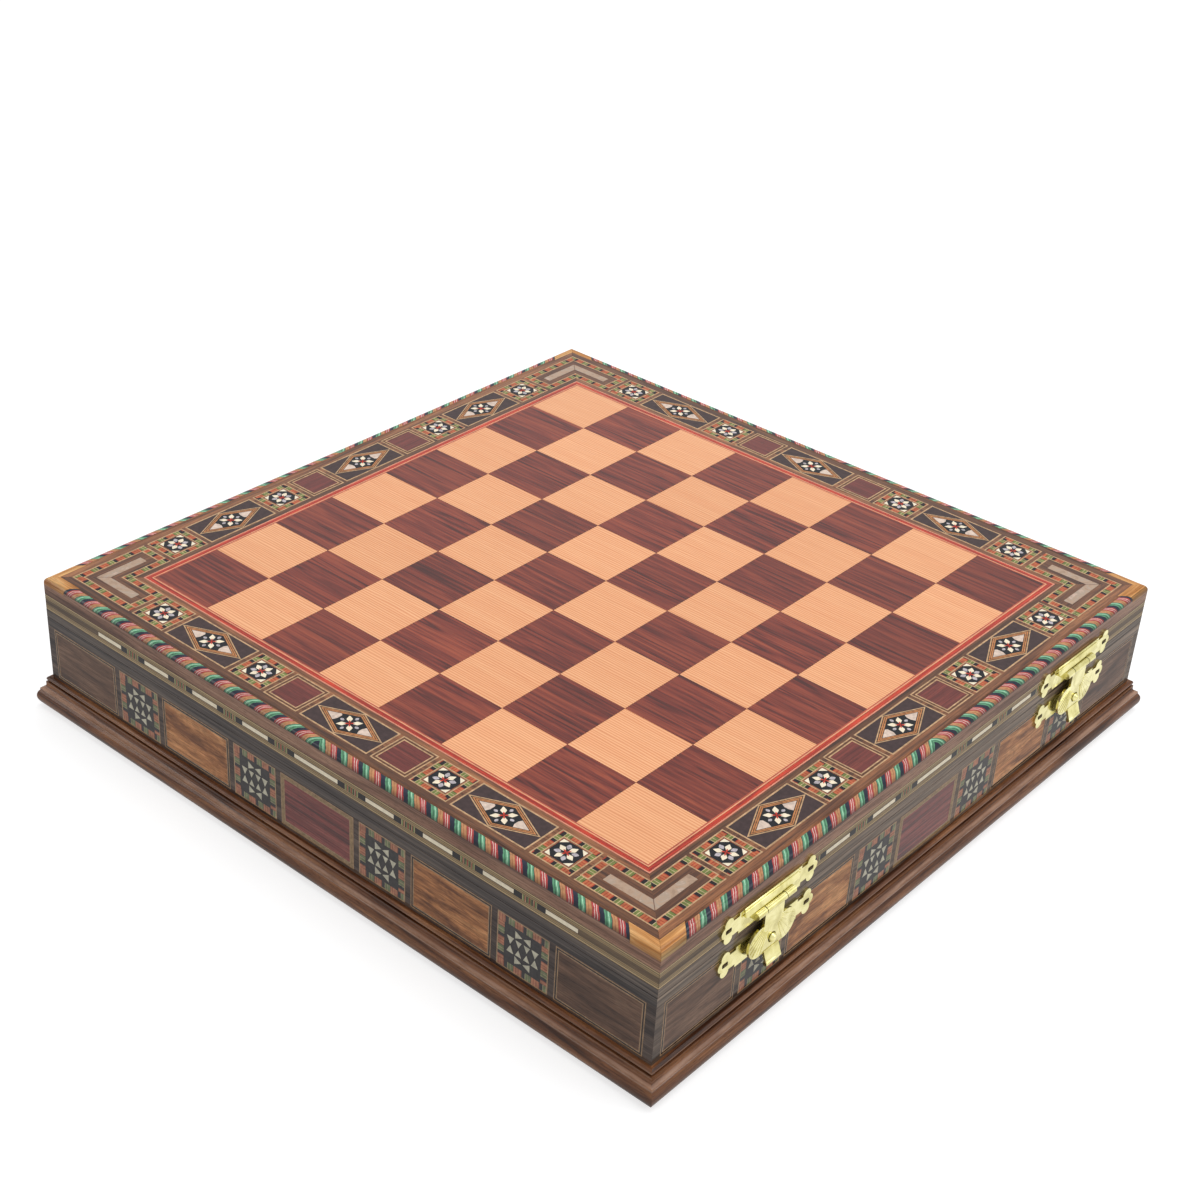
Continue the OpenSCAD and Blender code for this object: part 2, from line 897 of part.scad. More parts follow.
// The swinging tongue: knuckle, neck, fan of two lobes and slanted thumb lip
module clasp_tongue(side) {
    color(brass)
        difference() {
            on_front(side, clasp_pin_z, 0) {
                translate([-neck_w / 2, 0, clasp_pin_off])
                    rotate([0, 90, 0])
                        cylinder(h = neck_w, r = clasp_knuckle_r);
                translate([0, 0, tongue_y])
                    linear_extrude(tongue_t)
                        union() {
                            translate([-neck_w / 2, -lip_drop])
                                square([neck_w, lip_drop]);
                            for (lobe = [-1, 1])
                                translate([lobe * fan_x, -fan_drop])
                                    circle(fan_r);
                        }
                translate([-lip_w / 2, tongue_t / 3 - lip_drop, tongue_y + tongue_t / 5])
                    rotate([180 - lip_tilt, 0, 0])
                        translate([0, 0, -tongue_t])
                            cube([lip_w, lip_l, tongue_t]);
            }
            clasp_bore(side);
            on_front(side, keeper_knob_z, 0)
                cylinder(h = clasp_pin_off + tongue_t, r = tongue_hole_r);
        }
}

// Nails of the plates whose middle lies at the given height
module plate_nails(z) {
    color(brass)
        for (side = [-1, 1], end = [-1, 1])
            on_front(side, z, plate_t)
                translate([end * foil_x, 0, 0]) {
                    cylinder(h = nail_head_h, r1 = nail_head_r, r2 = nail_top_r);
                    translate([0, 0, -nail_l])
                        cylinder(h = nail_l, r = nail_r);
                }
}

// Their holes in the wood and the inlay of the front
module nail_holes(z) {
    for (side = [-1, 1], end = [-1, 1])
        on_front(side, z, past)
            translate([end * foil_x, 0, -nail_l - past])
                cylinder(h = nail_l + past, r = nail_r + joint / 2);
}

bottom_panel();
plinth_member(0);  // plinth_front
plinth_member(1);  // plinth_right
plinth_member(2);  // plinth_back
plinth_member(3);  // plinth_left
base_wall(0);  // base_wall_front
base_wall(1);  // base_wall_right
base_wall(2);  // base_wall_back
base_wall(3);  // base_wall_left
base_lining();
long_dividers();
cross_dividers();
side_panels("walnut", "#7a5640");  // side_walnut_panels
side_panels("burl", "#b9753c");  // side_burl_panels
side_panels("red", "#6e2230");  // side_red_panels
side_panels("mosaic", "#3a4038");  // side_mosaic_panels
hinge_leaf(-1, -1);  // hinge_left_base_leaf
hinge_leaf(1, -1);  // hinge_right_base_leaf
hinge_pin(-1);  // hinge_left_pin
hinge_pin(1);  // hinge_right_pin
leaf_screws_all(-1);  // hinge_base_screws
clasp_keeper(-1);  // clasp_left_keeper
clasp_keeper(1);  // clasp_right_keeper
plate_nails(keeper_z);  // clasp_base_nails
lid_rail(0);  // lid_rail_front
lid_rail(1);  // lid_rail_right
lid_rail(2);  // lid_rail_back
lid_rail(3);  // lid_rail_left
board_core();
lid_lining();
field_squares(0, light_wood);  // light_squares
field_squares(1, rosewood);  // dark_squares
field_pale_lines();
field_red_line();
border_ground();
border_tiles("star", "#2b2a2a");  // star_tiles
border_tiles("diamond", "#8a4a34");  // diamond_tiles
border_tiles("red", "#7c1f1a");  // red_tiles
corner_tiles();
shell_chevrons();
edge_strip(0);  // edge_strip_front
edge_strip(1);  // edge_strip_right
edge_strip(2);  // edge_strip_back
edge_strip(3);  // edge_strip_left
corner_blocks();
side_band();
bone_bars();
hinge_leaf(-1, 1);  // hinge_left_lid_leaf
hinge_leaf(1, 1);  // hinge_right_lid_leaf
leaf_screws_all(1);  // hinge_lid_screws
clasp_plate(-1);  // clasp_left_plate
clasp_plate(1);  // clasp_right_plate
clasp_pin(-1);  // clasp_left_pin
clasp_pin(1);  // clasp_right_pin
plate_nails(plate_z);  // clasp_lid_nails
clasp_tongue(-1);  // clasp_left_tongue
clasp_tongue(1);  // clasp_right_tongue
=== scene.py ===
from contextlib import contextmanager
from math import cos, pi, radians, sin

import bpy
from mathutils import Matrix, Vector


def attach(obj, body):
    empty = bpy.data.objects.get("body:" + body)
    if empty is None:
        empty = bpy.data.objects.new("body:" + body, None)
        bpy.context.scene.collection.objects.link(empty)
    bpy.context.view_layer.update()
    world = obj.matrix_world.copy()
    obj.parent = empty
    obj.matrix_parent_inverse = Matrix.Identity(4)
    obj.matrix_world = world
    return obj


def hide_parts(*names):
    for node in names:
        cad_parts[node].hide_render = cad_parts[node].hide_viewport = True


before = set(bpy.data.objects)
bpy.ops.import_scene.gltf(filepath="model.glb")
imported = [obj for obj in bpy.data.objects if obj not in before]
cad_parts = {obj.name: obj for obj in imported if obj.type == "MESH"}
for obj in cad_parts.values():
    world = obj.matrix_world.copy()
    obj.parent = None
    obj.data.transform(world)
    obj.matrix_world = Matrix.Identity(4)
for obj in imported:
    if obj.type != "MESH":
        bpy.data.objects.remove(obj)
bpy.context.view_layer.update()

# ---- studio
# A closed chess box on a plain white sheet, seen from its clasp corner.
# Soft light from all round, one wide lamp overhead, a weaker one on the clasp side and one far off.

CAMERA_PLACE = (-0.52230, -0.41790, 0.46082)
CAMERA_TURN = (58.292, -2.353, -48.087)
SHEET_HALF = 4.0

scene = bpy.context.scene
scene.view_settings.view_transform = "Standard"
camera_data = bpy.data.cameras.new("studio_camera")
camera_data.lens = 61.595
camera_data.sensor_width = 36
camera_data.shift_x = 0.0417
camera_data.clip_start = 0.01


def set_up(name, data, place, turn):
    """A camera or lamp of the studio at its place, turned by these degrees."""
    thing = bpy.data.objects.new(name, data)
    scene.collection.objects.link(thing)
    thing.location = place
    thing.rotation_euler = [radians(a) for a in turn]
    return thing


def lamp(name, place, turn, size, watts):
    data = bpy.data.lights.new(name, "AREA")
    data.shape = "DISK"
    data.size = size
    data.energy = watts
    set_up(name, data, place, turn)


scene.camera = set_up("studio_camera", camera_data, CAMERA_PLACE, CAMERA_TURN)
lamp("overhead_lamp", (0.3, -0.1, 1.6), (8, 10, 0), 1.6, 14)
lamp("clasp_side_lamp", (0.7, -1.4, 0.9), (60, 0, 25), 1.2, 4.8)
lamp("far_side_lamp", (-1.0, 1.1, 0.45), (76, 0, 222), 0.7, 2.6)


def add_node(tree, kind, inputs=None, **settings):
    """A shader node with its settings; each input takes a value or another node's output."""
    node = tree.nodes.new("ShaderNode" + kind)
    for setting, value in settings.items():
        setattr(node, setting, value)
    for name, value in (inputs or {}).items():
        if isinstance(value, bpy.types.NodeSocket):
            tree.links.new(value, node.inputs[name])
        elif value is not None:
            node.inputs[name].default_value = value
    return node


def for_eye_or_light(tree, light, eye):
    """One shader for light, and another for what is seen straight, in a mirror or through glass."""
    path = add_node(tree, "LightPath").outputs
    seen = path["Is Camera Ray"]
    for ray in ("Is Glossy Ray", "Is Transmission Ray"):
        seen = add_node(tree, "Math", {0: seen, 1: path[ray]}, operation="MAXIMUM").outputs[0]
    return add_node(tree, "MixShader", {0: seen, 1: light.outputs[0], 2: eye.outputs[0]}).outputs[0]


world = bpy.data.worlds.new("studio_air")
world.use_nodes = True
scene.world = world
air = world.node_tree
air.nodes.clear()
soft_light = add_node(air, "Background", {"Color": (0.98, 0.99, 1.0, 1), "Strength": 0.55})
white_air = add_node(air, "Background", {"Color": (1, 1, 1, 1), "Strength": 1.0})
add_node(air, "OutputWorld", {0: for_eye_or_light(air, soft_light, white_air)})

bpy.ops.object.select_all(action="DESELECT")
bpy.ops.mesh.primitive_plane_add(size=2 * SHEET_HALF)
sheet = bpy.context.object
sheet.name = "white_sheet"
sheet_look = bpy.data.materials.new("white_sheet")
sheet_look.use_nodes = True
tree = sheet_look.node_tree
tree.nodes.clear()
paper = add_node(tree, "BsdfDiffuse", {"Color": (0.5, 0.5, 0.5, 1)})
lift = add_node(tree, "Emission", {"Strength": 0.66})
lifted = add_node(tree, "AddShader", {0: paper.outputs[0], 1: lift.outputs[0]})
add_node(tree, "OutputMaterial", {0: for_eye_or_light(tree, paper, lifted)})
sheet.data.materials.append(sheet_look)

# ---- plinth
# Four lengths of dark walnut moulding with a bead, a cove and a rounded nose, mitred at the
# corners, glued and lacquered. The grain runs along each length. The groove and the wood near the
# floor are painted darker as shade, and pale lines on the bead and the nose's top edge are partly
# wear, partly painted highlight.

MM = 0.001


def shade(red, green, blue):
    """A colour as it is read off a print, 0 to 255, as the shader takes it."""
    parts = []
    for level in (red, green, blue):
        level = level / 255
        parts.append(level / 12.92 if level <= 0.04045 else ((level + 0.055) / 1.055) ** 2.4)
    return (*parts, 1)


class Bench:
    """A material's node tree, with the few nodes that all the finishes here are built from."""

    def __init__(self, name, rough=0.35, coat=0.42, coat_rough=0.05, specular=0.0, metallic=0.0):
        self.material = bpy.data.materials.new(name)
        self.material.use_nodes = True
        self.shader = self.material.node_tree.nodes["Principled BSDF"]
        for socket, value in (("Roughness", rough), ("Metallic", metallic), ("Specular IOR Level", specular),
                              ("Coat Weight", coat), ("Coat Roughness", coat_rough)):
            self.shader.inputs[socket].default_value = value
        self.place = self.add("TexCoord").outputs["Object"]

    def add(self, kind, inputs=None, **settings):
        return add_node(self.material.node_tree, kind, inputs, **settings)

    def noise(self, cell, detail=3.0, rough=0.55, twist=0.0, shift=(0, 0, 0), place=None):
        """Noise with cells of so many millimetres along x, y and z."""
        counted = self.add("Mapping", {"Vector": place or self.place, "Scale": [1 / (c * MM) for c in cell],
                                       "Location": shift})
        return self.add("TexNoise", {"Vector": counted.outputs[0], "Scale": 1.0, "Detail": detail,
                                     "Roughness": rough, "Distortion": twist}).outputs["Fac"]

    def ramp(self, value, stops, hard=False):
        node = self.add("ValToRGB", {0: value})
        steps = node.color_ramp.elements
        steps[0].position, steps[0].color = stops[0]
        steps[1].position, steps[1].color = stops[1]
        for position, colour in stops[2:]:
            steps.new(position).color = colour
        if hard:
            node.color_ramp.interpolation = "CONSTANT"
        return node.outputs[0]

    def maths(self, what, a, b=None, clamp=False):
        return self.add("Math", {0: a, 1: b}, operation=what, use_clamp=clamp).outputs[0]

    def between(self, value, low, high, from_low=0.3, from_high=0.7):
        """The value, usually of a noise, spread from low to high."""
        return self.add("MapRange", {"Value": value, "From Min": from_low, "From Max": from_high,
                                     "To Min": low, "To Max": high}).outputs[0]

    def mix(self, how, amount, a, b):
        return self.add("Mix", {0: amount, 6: a, 7: b}, data_type="RGBA", blend_type=how).outputs[2]

    def tinted(self, amount, colour, value, *stops):
        """The colour, multiplied by what the stops (place, factor or three of them) give for the value."""
        factors = self.ramp(value, [(place, (*(factor if isinstance(factor, tuple) else (factor,) * 3), 1))
                                    for place, factor in stops])
        return self.mix("MULTIPLY", amount, colour, factors)

    def axes(self):
        return self.add("SeparateXYZ", {0: self.place}).outputs

    def millimetres(self, axis):
        return self.maths("MULTIPLY", self.axes()[axis], 1 / MM)

    def out(self, axis):
        """Millimetres out from the middle."""
        return self.maths("MULTIPLY", self.maths("ABSOLUTE", self.axes()[axis]), 1 / MM)

    def off(self, value, middle):
        return self.maths("ABSOLUTE", self.maths("SUBTRACT", value, middle))

    def bump(self, height, strength, depth):
        node = self.add("Bump", {"Height": height, "Strength": strength, "Distance": depth * MM})
        self.material.node_tree.links.new(node.outputs[0], self.shader.inputs["Normal"])

    def finish(self, colour, roughness=None):
        for socket, value in (("Base Color", colour), ("Roughness", roughness)):
            if value is not None:
                self.material.node_tree.links.new(value, self.shader.inputs[socket])
        return self.material


def along(grain, length, width, depth):
    """A cell of the grain, drawn out along the axis that it runs along."""
    return {"x": (length, width, depth), "y": (width, length, depth), "z": (width, depth, length)}[grain]


def timber(bench, grain, deep, mid, pale, figure=5.0, reach=70.0, fibre=0.45, pores=0.5, shift=0.0):
    """Colour and height of solid wood: broad figure, fine fibre and short dark pores."""
    deep, mid, pale = shade(*deep), shade(*mid), shade(*pale)
    start = (shift, shift * 0.7, shift * 1.3)
    broad = bench.noise(along(grain, reach, figure, figure), 3.0, 0.55, 0.7, start)
    colour = bench.ramp(broad, [(0.32, deep), (0.5, mid), (0.68, pale)])
    thread = bench.noise(along(grain, fibre * 40, fibre, fibre), 2.0, shift=start)
    colour = bench.tinted(1.0, colour, thread, (0.3, (0.62, 0.58, 0.55)), (0.62, (1.12, 1.1, 1.08)))
    pore = bench.noise(along(grain, 3.2, 0.22, 0.22), 1.0, shift=start)
    dark = bench.between(pore, pores, 0.0, 0.3, 0.42)
    colour = bench.mix("MIX", dark, colour, tuple(c * 0.25 for c in deep[:3]) + (1,))
    return colour, thread


def wood(name, grain, deep, mid, pale, rough=(0.3, 0.42), strength=0.12, **figure):
    bench = Bench(name)
    colour, thread = timber(bench, grain, deep, mid, pale, **figure)
    bench.bump(thread, strength, 0.05)
    return bench.finish(colour, bench.between(thread, *rough))


def dress(material, *nodes):
    """A CAD node keeps its shape and gets its finish."""
    for node in nodes:
        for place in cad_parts[node].material_slots:
            place.material = material


def dress_lengths(node, look, make, for_x, for_y):
    """The front and back lengths get the look with its grain along x, the other two with it along y."""
    for grain, sides, given in (("x", ("front", "back"), for_x), ("y", ("right", "left"), for_y)):
        dress(make(f"{look}_along_{grain}", grain, *given), *(f"{node}_{side}" for side in sides))


PLINTH_TONES = ((66, 38, 24), (114, 72, 46), (146, 100, 66))
GROOVE_AT, NOSE_EDGE_AT, BEAD_AT = 11.2, 8.0, 12.3


def moulding(name, grain, shift):
    bench = Bench(name, coat=0.5, coat_rough=0.12)
    colour, thread = timber(bench, grain, *PLINTH_TONES, figure=3.2, reach=45, shift=shift)
    height = bench.millimetres(2)
    # Painted shade: the wood darkens towards the floor over its lowest 2.2 mm.
    painted_floor_shade = bench.between(height, 0.55, 0.0, 0.0, 2.2)
    colour = bench.mix("MIX", painted_floor_shade, colour, shade(30, 16, 11))
    # Painted shade: a dark line along the groove under the bead.
    groove_shade = bench.between(bench.off(height, GROOVE_AT), 0.25, 0.0, 0.15, 0.6)
    colour = bench.mix("MIX", groove_shade, colour, shade(40, 22, 15))
    # Pale lines on the bead and along the nose's top edge, in patches: partly wear, partly painted highlight.
    rubbed = bench.noise(along(grain, 14, 2.4, 2.4), 4.0, 0.65, shift=(shift, 0, 0))
    bead_highlight = bench.between(bench.off(height, BEAD_AT), 0.3, 0.0, 0.2, 0.5)
    nose_edge_highlight = bench.between(bench.off(height, NOSE_EDGE_AT), 0.95, 0.0, 0.25, 0.8)
    patchy = bench.between(rubbed, 0.55, 1.0, 0.42, 0.62)
    wear_and_highlight = bench.maths("MULTIPLY", bench.maths("MAXIMUM", bead_highlight, nose_edge_highlight), patchy)
    colour = bench.mix("MIX", wear_and_highlight, colour, shade(176, 140, 118))
    bench.bump(thread, 0.2, 0.08)
    return bench.finish(colour, bench.between(thread, 0.3, 0.48))


dress_lengths("plinth", "plinth_walnut", moulding, (0.0,), (3.0,))

# ---- bottom and linings
# The bottom is a raw board let into the plinth. Cloth with a short nap is glued on it and
# inside the lid.

dress(wood("raw_board", "x", (120, 88, 60), (158, 122, 86), (180, 146, 108),
           rough=(0.6, 0.75), figure=9), "bottom_panel", "board_core")


def claret_cloth():
    bench = Bench("claret_cloth", rough=0.9, coat=0.0, specular=0.2)
    nap = bench.noise((0.5, 0.5, 0.5), 4.0, 0.7)
    brushed = bench.noise((14, 22, 14))
    colour = bench.ramp(nap, [(0.3, shade(70, 16, 24)), (0.7, shade(122, 34, 44))])
    colour = bench.tinted(0.5, colour, brushed, (0.3, 0.7), (0.7, 1.2))
    bench.shader.inputs["Sheen Weight"].default_value = 0.3
    bench.shader.inputs["Sheen Roughness"].default_value = 0.5
    bench.bump(nap, 0.5, 0.25)
    return bench.finish(colour)


dress(claret_cloth(), "base_lining", "lid_lining")

# ---- compartment slats
# Thin walnut slats halved into each other, pushed in between the walls and left oiled.

for grain, slats in (("x", "long_dividers"), ("y", "cross_dividers")):
    dress(wood(f"slat_walnut_along_{grain}", grain, (70, 44, 28), (112, 76, 50),
               (140, 98, 66), rough=(0.42, 0.55), figure=6), slats)

# ---- walls of the base
# Mitred walnut walls, lacquered. The strip along their top edge is a band of grey-black veneer.

WALL_TONES = ((52, 42, 40), (84, 70, 64), (108, 92, 82))
STRIP_TONES = ((54, 48, 48), (84, 76, 73), (112, 100, 90))
# Painted light: the front and back walls take paler tones than the two ends, as if lit more.
PAINTED_LIT_WALL = ((66, 54, 48), (104, 88, 76), (130, 112, 96))
PAINTED_LIT_STRIP = ((80, 70, 62), (122, 107, 94), (152, 133, 116))
WALL_STRIP = (36.9, 60)


def banded_wall(name, grain, strip, shift, tones, strip_tones):
    """Walnut with a grey-black strip from one height to another."""
    bench = Bench(name)
    colour, thread = timber(bench, grain, *tones, figure=3.6, reach=60, shift=shift)
    band, _ = timber(bench, grain, *strip_tones, figure=1.6, reach=90, pores=0.2, shift=shift + 5)
    height = bench.axes()[2]
    inside = bench.maths("MULTIPLY", bench.maths("GREATER_THAN", height, strip[0] * MM),
                         bench.maths("LESS_THAN", height, strip[1] * MM))
    bench.bump(thread, 0.12, 0.05)
    return bench.finish(bench.mix("MIX", inside, colour, band), bench.between(thread, 0.28, 0.4))


dress_lengths("base_wall", "wall_walnut", banded_wall,
              (WALL_STRIP, 1.0, PAINTED_LIT_WALL, PAINTED_LIT_STRIP), (WALL_STRIP, 2.0, WALL_TONES, STRIP_TONES))

# ---- inlaid panels of the base
# Veneer panels 1 mm deep in seats in the walls: plain walnut by the corners, then burl, and a
# red-stained one in the middle.


def dress_round(node, name, finish, coat=0.42):
    """One look for the four sides: the grain runs along x on two of them and along y on the others."""
    bench = Bench(name, coat=coat)
    first, thread_x = finish(bench, "x")
    second, thread_y = finish(bench, "y")
    x, y, _ = bench.axes()
    sideways = bench.maths("GREATER_THAN", bench.maths("ABSOLUTE", x), bench.maths("ABSOLUTE", y))
    thread = bench.mix("MIX", sideways, thread_x, thread_y)
    bench.bump(thread, 0.12, 0.05)
    dress(bench.finish(bench.mix("MIX", sideways, first, second), bench.between(thread, 0.28, 0.4)), node)


def veneer(*tones, **figure):
    """A plain wood, as a finish to go round the corner."""
    return lambda bench, grain: timber(bench, grain, *tones, **figure)


def panel_burl(bench, grain):
    colour, thread = timber(bench, grain, (118, 74, 46), (184, 126, 80), (216, 160, 108),
                            figure=4.2, reach=22, shift=9)
    cloud = bench.noise(along(grain, 12, 5, 5), 4.0, 0.6, 1.6)
    return bench.tinted(0.6, colour, cloud, (0.34, (0.45, 0.36, 0.3)), (0.56, (1.15, 1.1, 1.05))), thread


dress_round("side_walnut_panels", "panel_walnut",
            veneer((76, 54, 43), (112, 83, 66), (134, 104, 84), figure=4.2, reach=28))
dress_round("side_burl_panels", "panel_burl", panel_burl)
dress_round("side_red_panels", "panel_red",
            veneer((66, 26, 26), (126, 56, 52), (150, 80, 72), figure=1.8, reach=60, shift=4), 0.6)

# ---- lines round the panels
# Two pale lines of boxwood veneer, with a dark one between them, let in along every panel's
# edge. One frame is cut for each size of panel and repeated on the four sides.

FACE_HALF = 149.2
PANEL_LOW, PANEL_HIGH = 14.5, 36.5
PANEL_MIDDLE = (PANEL_LOW + PANEL_HIGH) / 2
WIDE_PANEL, SQUARE_PANEL = 36.36, 22.0
WALNUT_AT, BURL_AT = 127.12, 63.56
MOSAIC_AT = (95.34, 31.78)
PROUD = 0.03


def chip(name, colour, spread=0.35, cell=1.6, coat=0.5):
    """A small piece of dyed veneer, bone or shell: its tone wanders a little."""
    bench = Bench(name, coat=coat)
    cloud = bench.noise((cell, cell, cell))
    thread = bench.noise((0.25, 0.25, 2.5), 2.0)
    low, high = 1 - spread, 1 + spread * 0.5
    *tone, _ = shade(*colour)
    toned = bench.ramp(cloud, [(0.3, (*(c * low for c in tone), 1)),
                               (0.7, (*(min(c * high, 1) for c in tone), 1))])
    bench.bump(thread, 0.05, 0.03)
    return bench.finish(toned, bench.between(cloud, 0.25, 0.4))


PALE_LINE = chip("boxwood_line", (200, 162, 122))
PANEL_LINE = chip("panel_line", (164, 132, 100))
DARK_LINE = chip("dark_line", (46, 30, 24))


def pick(*pieces):
    """These pieces, and no others, are worked on next."""
    bpy.ops.object.select_all(action="DESELECT")
    for piece in pieces:
        piece.select_set(True)
    bpy.context.view_layer.objects.active = pieces[0]


@contextmanager
def opened(piece, choice="SELECT"):
    """The piece is in edit mode while this holds, all of it selected, or what was selected before."""
    pick(piece)
    bpy.ops.object.mode_set(mode="EDIT")
    if choice:
        bpy.ops.mesh.select_all(action=choice)
    yield
    bpy.ops.object.mode_set(mode="OBJECT")


def formed(name, add, scale=(1, 1, 1), place=(0, 0, 0), turn=(0, 0, 0), **form):
    """A primitive with its scale, place and turn applied, in metres."""
    bpy.ops.object.select_all(action="DESELECT")
    add(**form)
    piece = bpy.context.object
    piece.name = name
    piece.scale, piece.location, piece.rotation_euler = scale, place, turn
    bpy.ops.object.transform_apply()
    return piece


def sheet_of(name, length, width):
    """A rectangle of veneer, face up on the bench, in millimetres."""
    return formed(name, bpy.ops.mesh.primitive_plane_add, (length * MM, width * MM, 1), size=1)


def lozenge_of(name, length, width):
    return formed(name, bpy.ops.mesh.primitive_circle_add, (width * MM, length * MM, 1), turn=(0, 0, pi / 2),
                  vertices=4, radius=0.5, fill_type="NGON")


def use(piece, *materials):
    for material in materials:
        piece.data.materials.append(material)
    return piece


def rings(piece, *steps):
    """The face is bordered from the outside in: (material number, width), and the core's number last."""
    with opened(piece):
        bpy.ops.mesh.select_mode(type="FACE")
        for number, width in steps[:-1]:
            piece.active_material_index = number
            bpy.ops.object.material_slot_assign()
            bpy.ops.mesh.inset(thickness=width * MM, use_even_offset=True)
        if steps[-1] is None:
            bpy.ops.mesh.delete(type="FACE")
        else:
            piece.active_material_index = steps[-1]
            bpy.ops.object.material_slot_assign()
    return piece


def saw(point, normal, drop=False):
    """One straight cut through the whole open piece; what lies past it can be dropped."""
    bpy.ops.mesh.select_all(action="SELECT")
    bpy.ops.mesh.bisect(plane_co=point, plane_no=normal, clear_outer=drop)


def cut(piece, axis, places):
    """Straight saw cuts through the whole piece, square to x or y, in millimetres."""
    normal = {"x": (1, 0, 0), "y": (0, 1, 0)}[axis]
    with opened(piece):
        for place in places:
            saw(tuple(place * MM * n for n in normal), normal)
    return piece


def colour_by(piece, rule):
    """rule(x, y) in millimetres gives the material number of the face there, or None to leave it."""
    for face in piece.data.polygons:
        number = rule(face.center.x / MM, face.center.y / MM)
        if number is not None:
            face.material_index = number
    return piece


def shifted(piece, place):
    """The piece with its place applied to its own points."""
    pick(piece)
    piece.matrix_world = place
    bpy.ops.object.transform_apply()
    return piece


def thicken(piece, proud=PROUD, depth=0.25):
    """The veneer gets its thickness, and stands a hair proud, as scraped inlay does."""
    shifted(piece, moved(0, 0, proud))
    solid = piece.modifiers.new("thickness", "SOLIDIFY")
    solid.thickness = depth * MM
    solid.offset = -1
    bpy.ops.object.modifier_apply(modifier=solid.name)
    return piece


def turned(degrees, axis="Z"):
    return Matrix.Rotation(radians(degrees), 4, axis)


def moved(x, y, z=0):
    return Matrix.Translation((x * MM, y * MM, z * MM))


def on_side(turn, across, height):
    """A place on the side's face: 0 is the clasp side, then anticlockwise."""
    return turned(90 * turn) @ moved(across, -FACE_HALF, height) @ turned(90, "X")


def laid(name, body, slot, *patterns):
    """Copies of each (pattern piece, its places), each with its own mesh, glued into one piece."""
    copies = []
    for pattern, places in patterns:
        for place in places:
            copy = pattern.copy()
            copy.data = pattern.data.copy()
            scene.collection.objects.link(copy)
            copy.matrix_world = place
            copies.append(copy)
    pick(*copies)
    bpy.ops.object.join()
    piece = bpy.context.object
    bpy.ops.object.transform_apply()
    piece.name = name
    for pattern, _ in patterns:
        bpy.data.objects.remove(pattern)
    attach(piece, body)
    return piece


def line_frame(name, size, line, edge, middle, width):
    """Two lines round a rectangle, with another wood between them."""
    return thicken(rings(use(sheet_of(name, *size), line, middle), (0, edge), (1, width), (0, edge), None))


def panel_frame(name, middle, width):
    return line_frame(name, (WIDE_PANEL, SQUARE_PANEL), PANEL_LINE, 0.4, middle, width)


SIDES = range(4)


def mirrored(place, height, *distances):
    """Places this far left and right of the middle of each of the four sides."""
    return [place(turn, way * at, height) for turn in SIDES for way in (-1, 1) for at in distances]


laid("panel_lines", "base", "boxwood",
     (panel_frame("walnut_frame", DARK_LINE, 0.6), mirrored(on_side, PANEL_MIDDLE, WALNUT_AT)),
     (panel_frame("burl_frame", DARK_LINE, 0.6), mirrored(on_side, PANEL_MIDDLE, BURL_AT)),
     (panel_frame("red_panel_frame", chip("tan_strip", (150, 122, 86), 0.4, 1.0), 1.2),
      [on_side(turn, 0, PANEL_MIDDLE) for turn in SIDES]))

# ---- mosaic squares of the base
# Squares of end-grain mosaic: a strip of dyed blocks between two pale lines round four rows of
# pale and black triangles, sawn from a glued rod and let into the wall.

BLOCK_BLACK = chip("dyed_black", (34, 28, 30))
BLOCKS = (PALE_LINE, chip("dyed_red", (166, 60, 42)), chip("cream_sliver", (214, 192, 150)), BLOCK_BLACK,
          chip("dyed_green", (118, 126, 66)), chip("dyed_orange", (188, 104, 66)))
PALE, RED, CREAM, BLACK, GREEN, ORANGE = range(6)

BLOCK_ROW = ((BLACK, 1.4), (CREAM, 0.2), (GREEN, 1.05), (CREAM, 0.2), (GREEN, 1.05), (BLACK, 0.2),
             (ORANGE, 0.85), (RED, 0.3), (ORANGE, 0.8), (RED, 0.3), (ORANGE, 0.85), (RED, 0.4))
BLOCK_PERIOD = sum(width for _, width in BLOCK_ROW)
TURNED_START = 1.3


def block_edges(low, high, start=0.0):
    """Where one block ends and the next begins, from low to high."""
    places = []
    at = start + BLOCK_PERIOD * int((low - start) / BLOCK_PERIOD - 1)
    while at < high:
        for _, width in BLOCK_ROW:
            at += width
            if low < at < high:
                places.append(at)
    return places


def block_at(where, start=0.0):
    rest = (where - start) % BLOCK_PERIOD
    for number, width in BLOCK_ROW:
        rest -= width
        if rest < 0:
            return number
    return BLACK


def block_ring(name, length, width, woods, line, blocks, *core):
    """A face with a pale line and a strip of blocks round it; the rings of core follow inside."""
    piece = rings(use(sheet_of(name, length, width), *woods), (PALE, line), (BLACK, blocks), *core)
    outer_x, outer_y = length / 2 - line, width / 2 - line
    inner_x, inner_y = outer_x - blocks, outer_y - blocks
    cut(piece, "x", block_edges(-outer_x, outer_x))
    cut(piece, "y", block_edges(-outer_y, outer_y, TURNED_START))

    def rule(x, y):
        if abs(x) > outer_x or abs(y) > outer_y or (abs(x) < inner_x and abs(y) < inner_y):
            return None
        return block_at(x) if abs(y) > inner_y else block_at(y, TURNED_START)
    return thicken(colour_by(piece, rule))


CELL = 3.5
FADED_BLOCKS = (chip("faded_line", (176, 144, 110)), chip("faded_red", (152, 88, 70)),
                chip("faded_cream", (176, 160, 130)), chip("faded_black", (58, 54, 54)),
                chip("faded_green", (118, 124, 88)), chip("faded_orange", (180, 122, 92)))


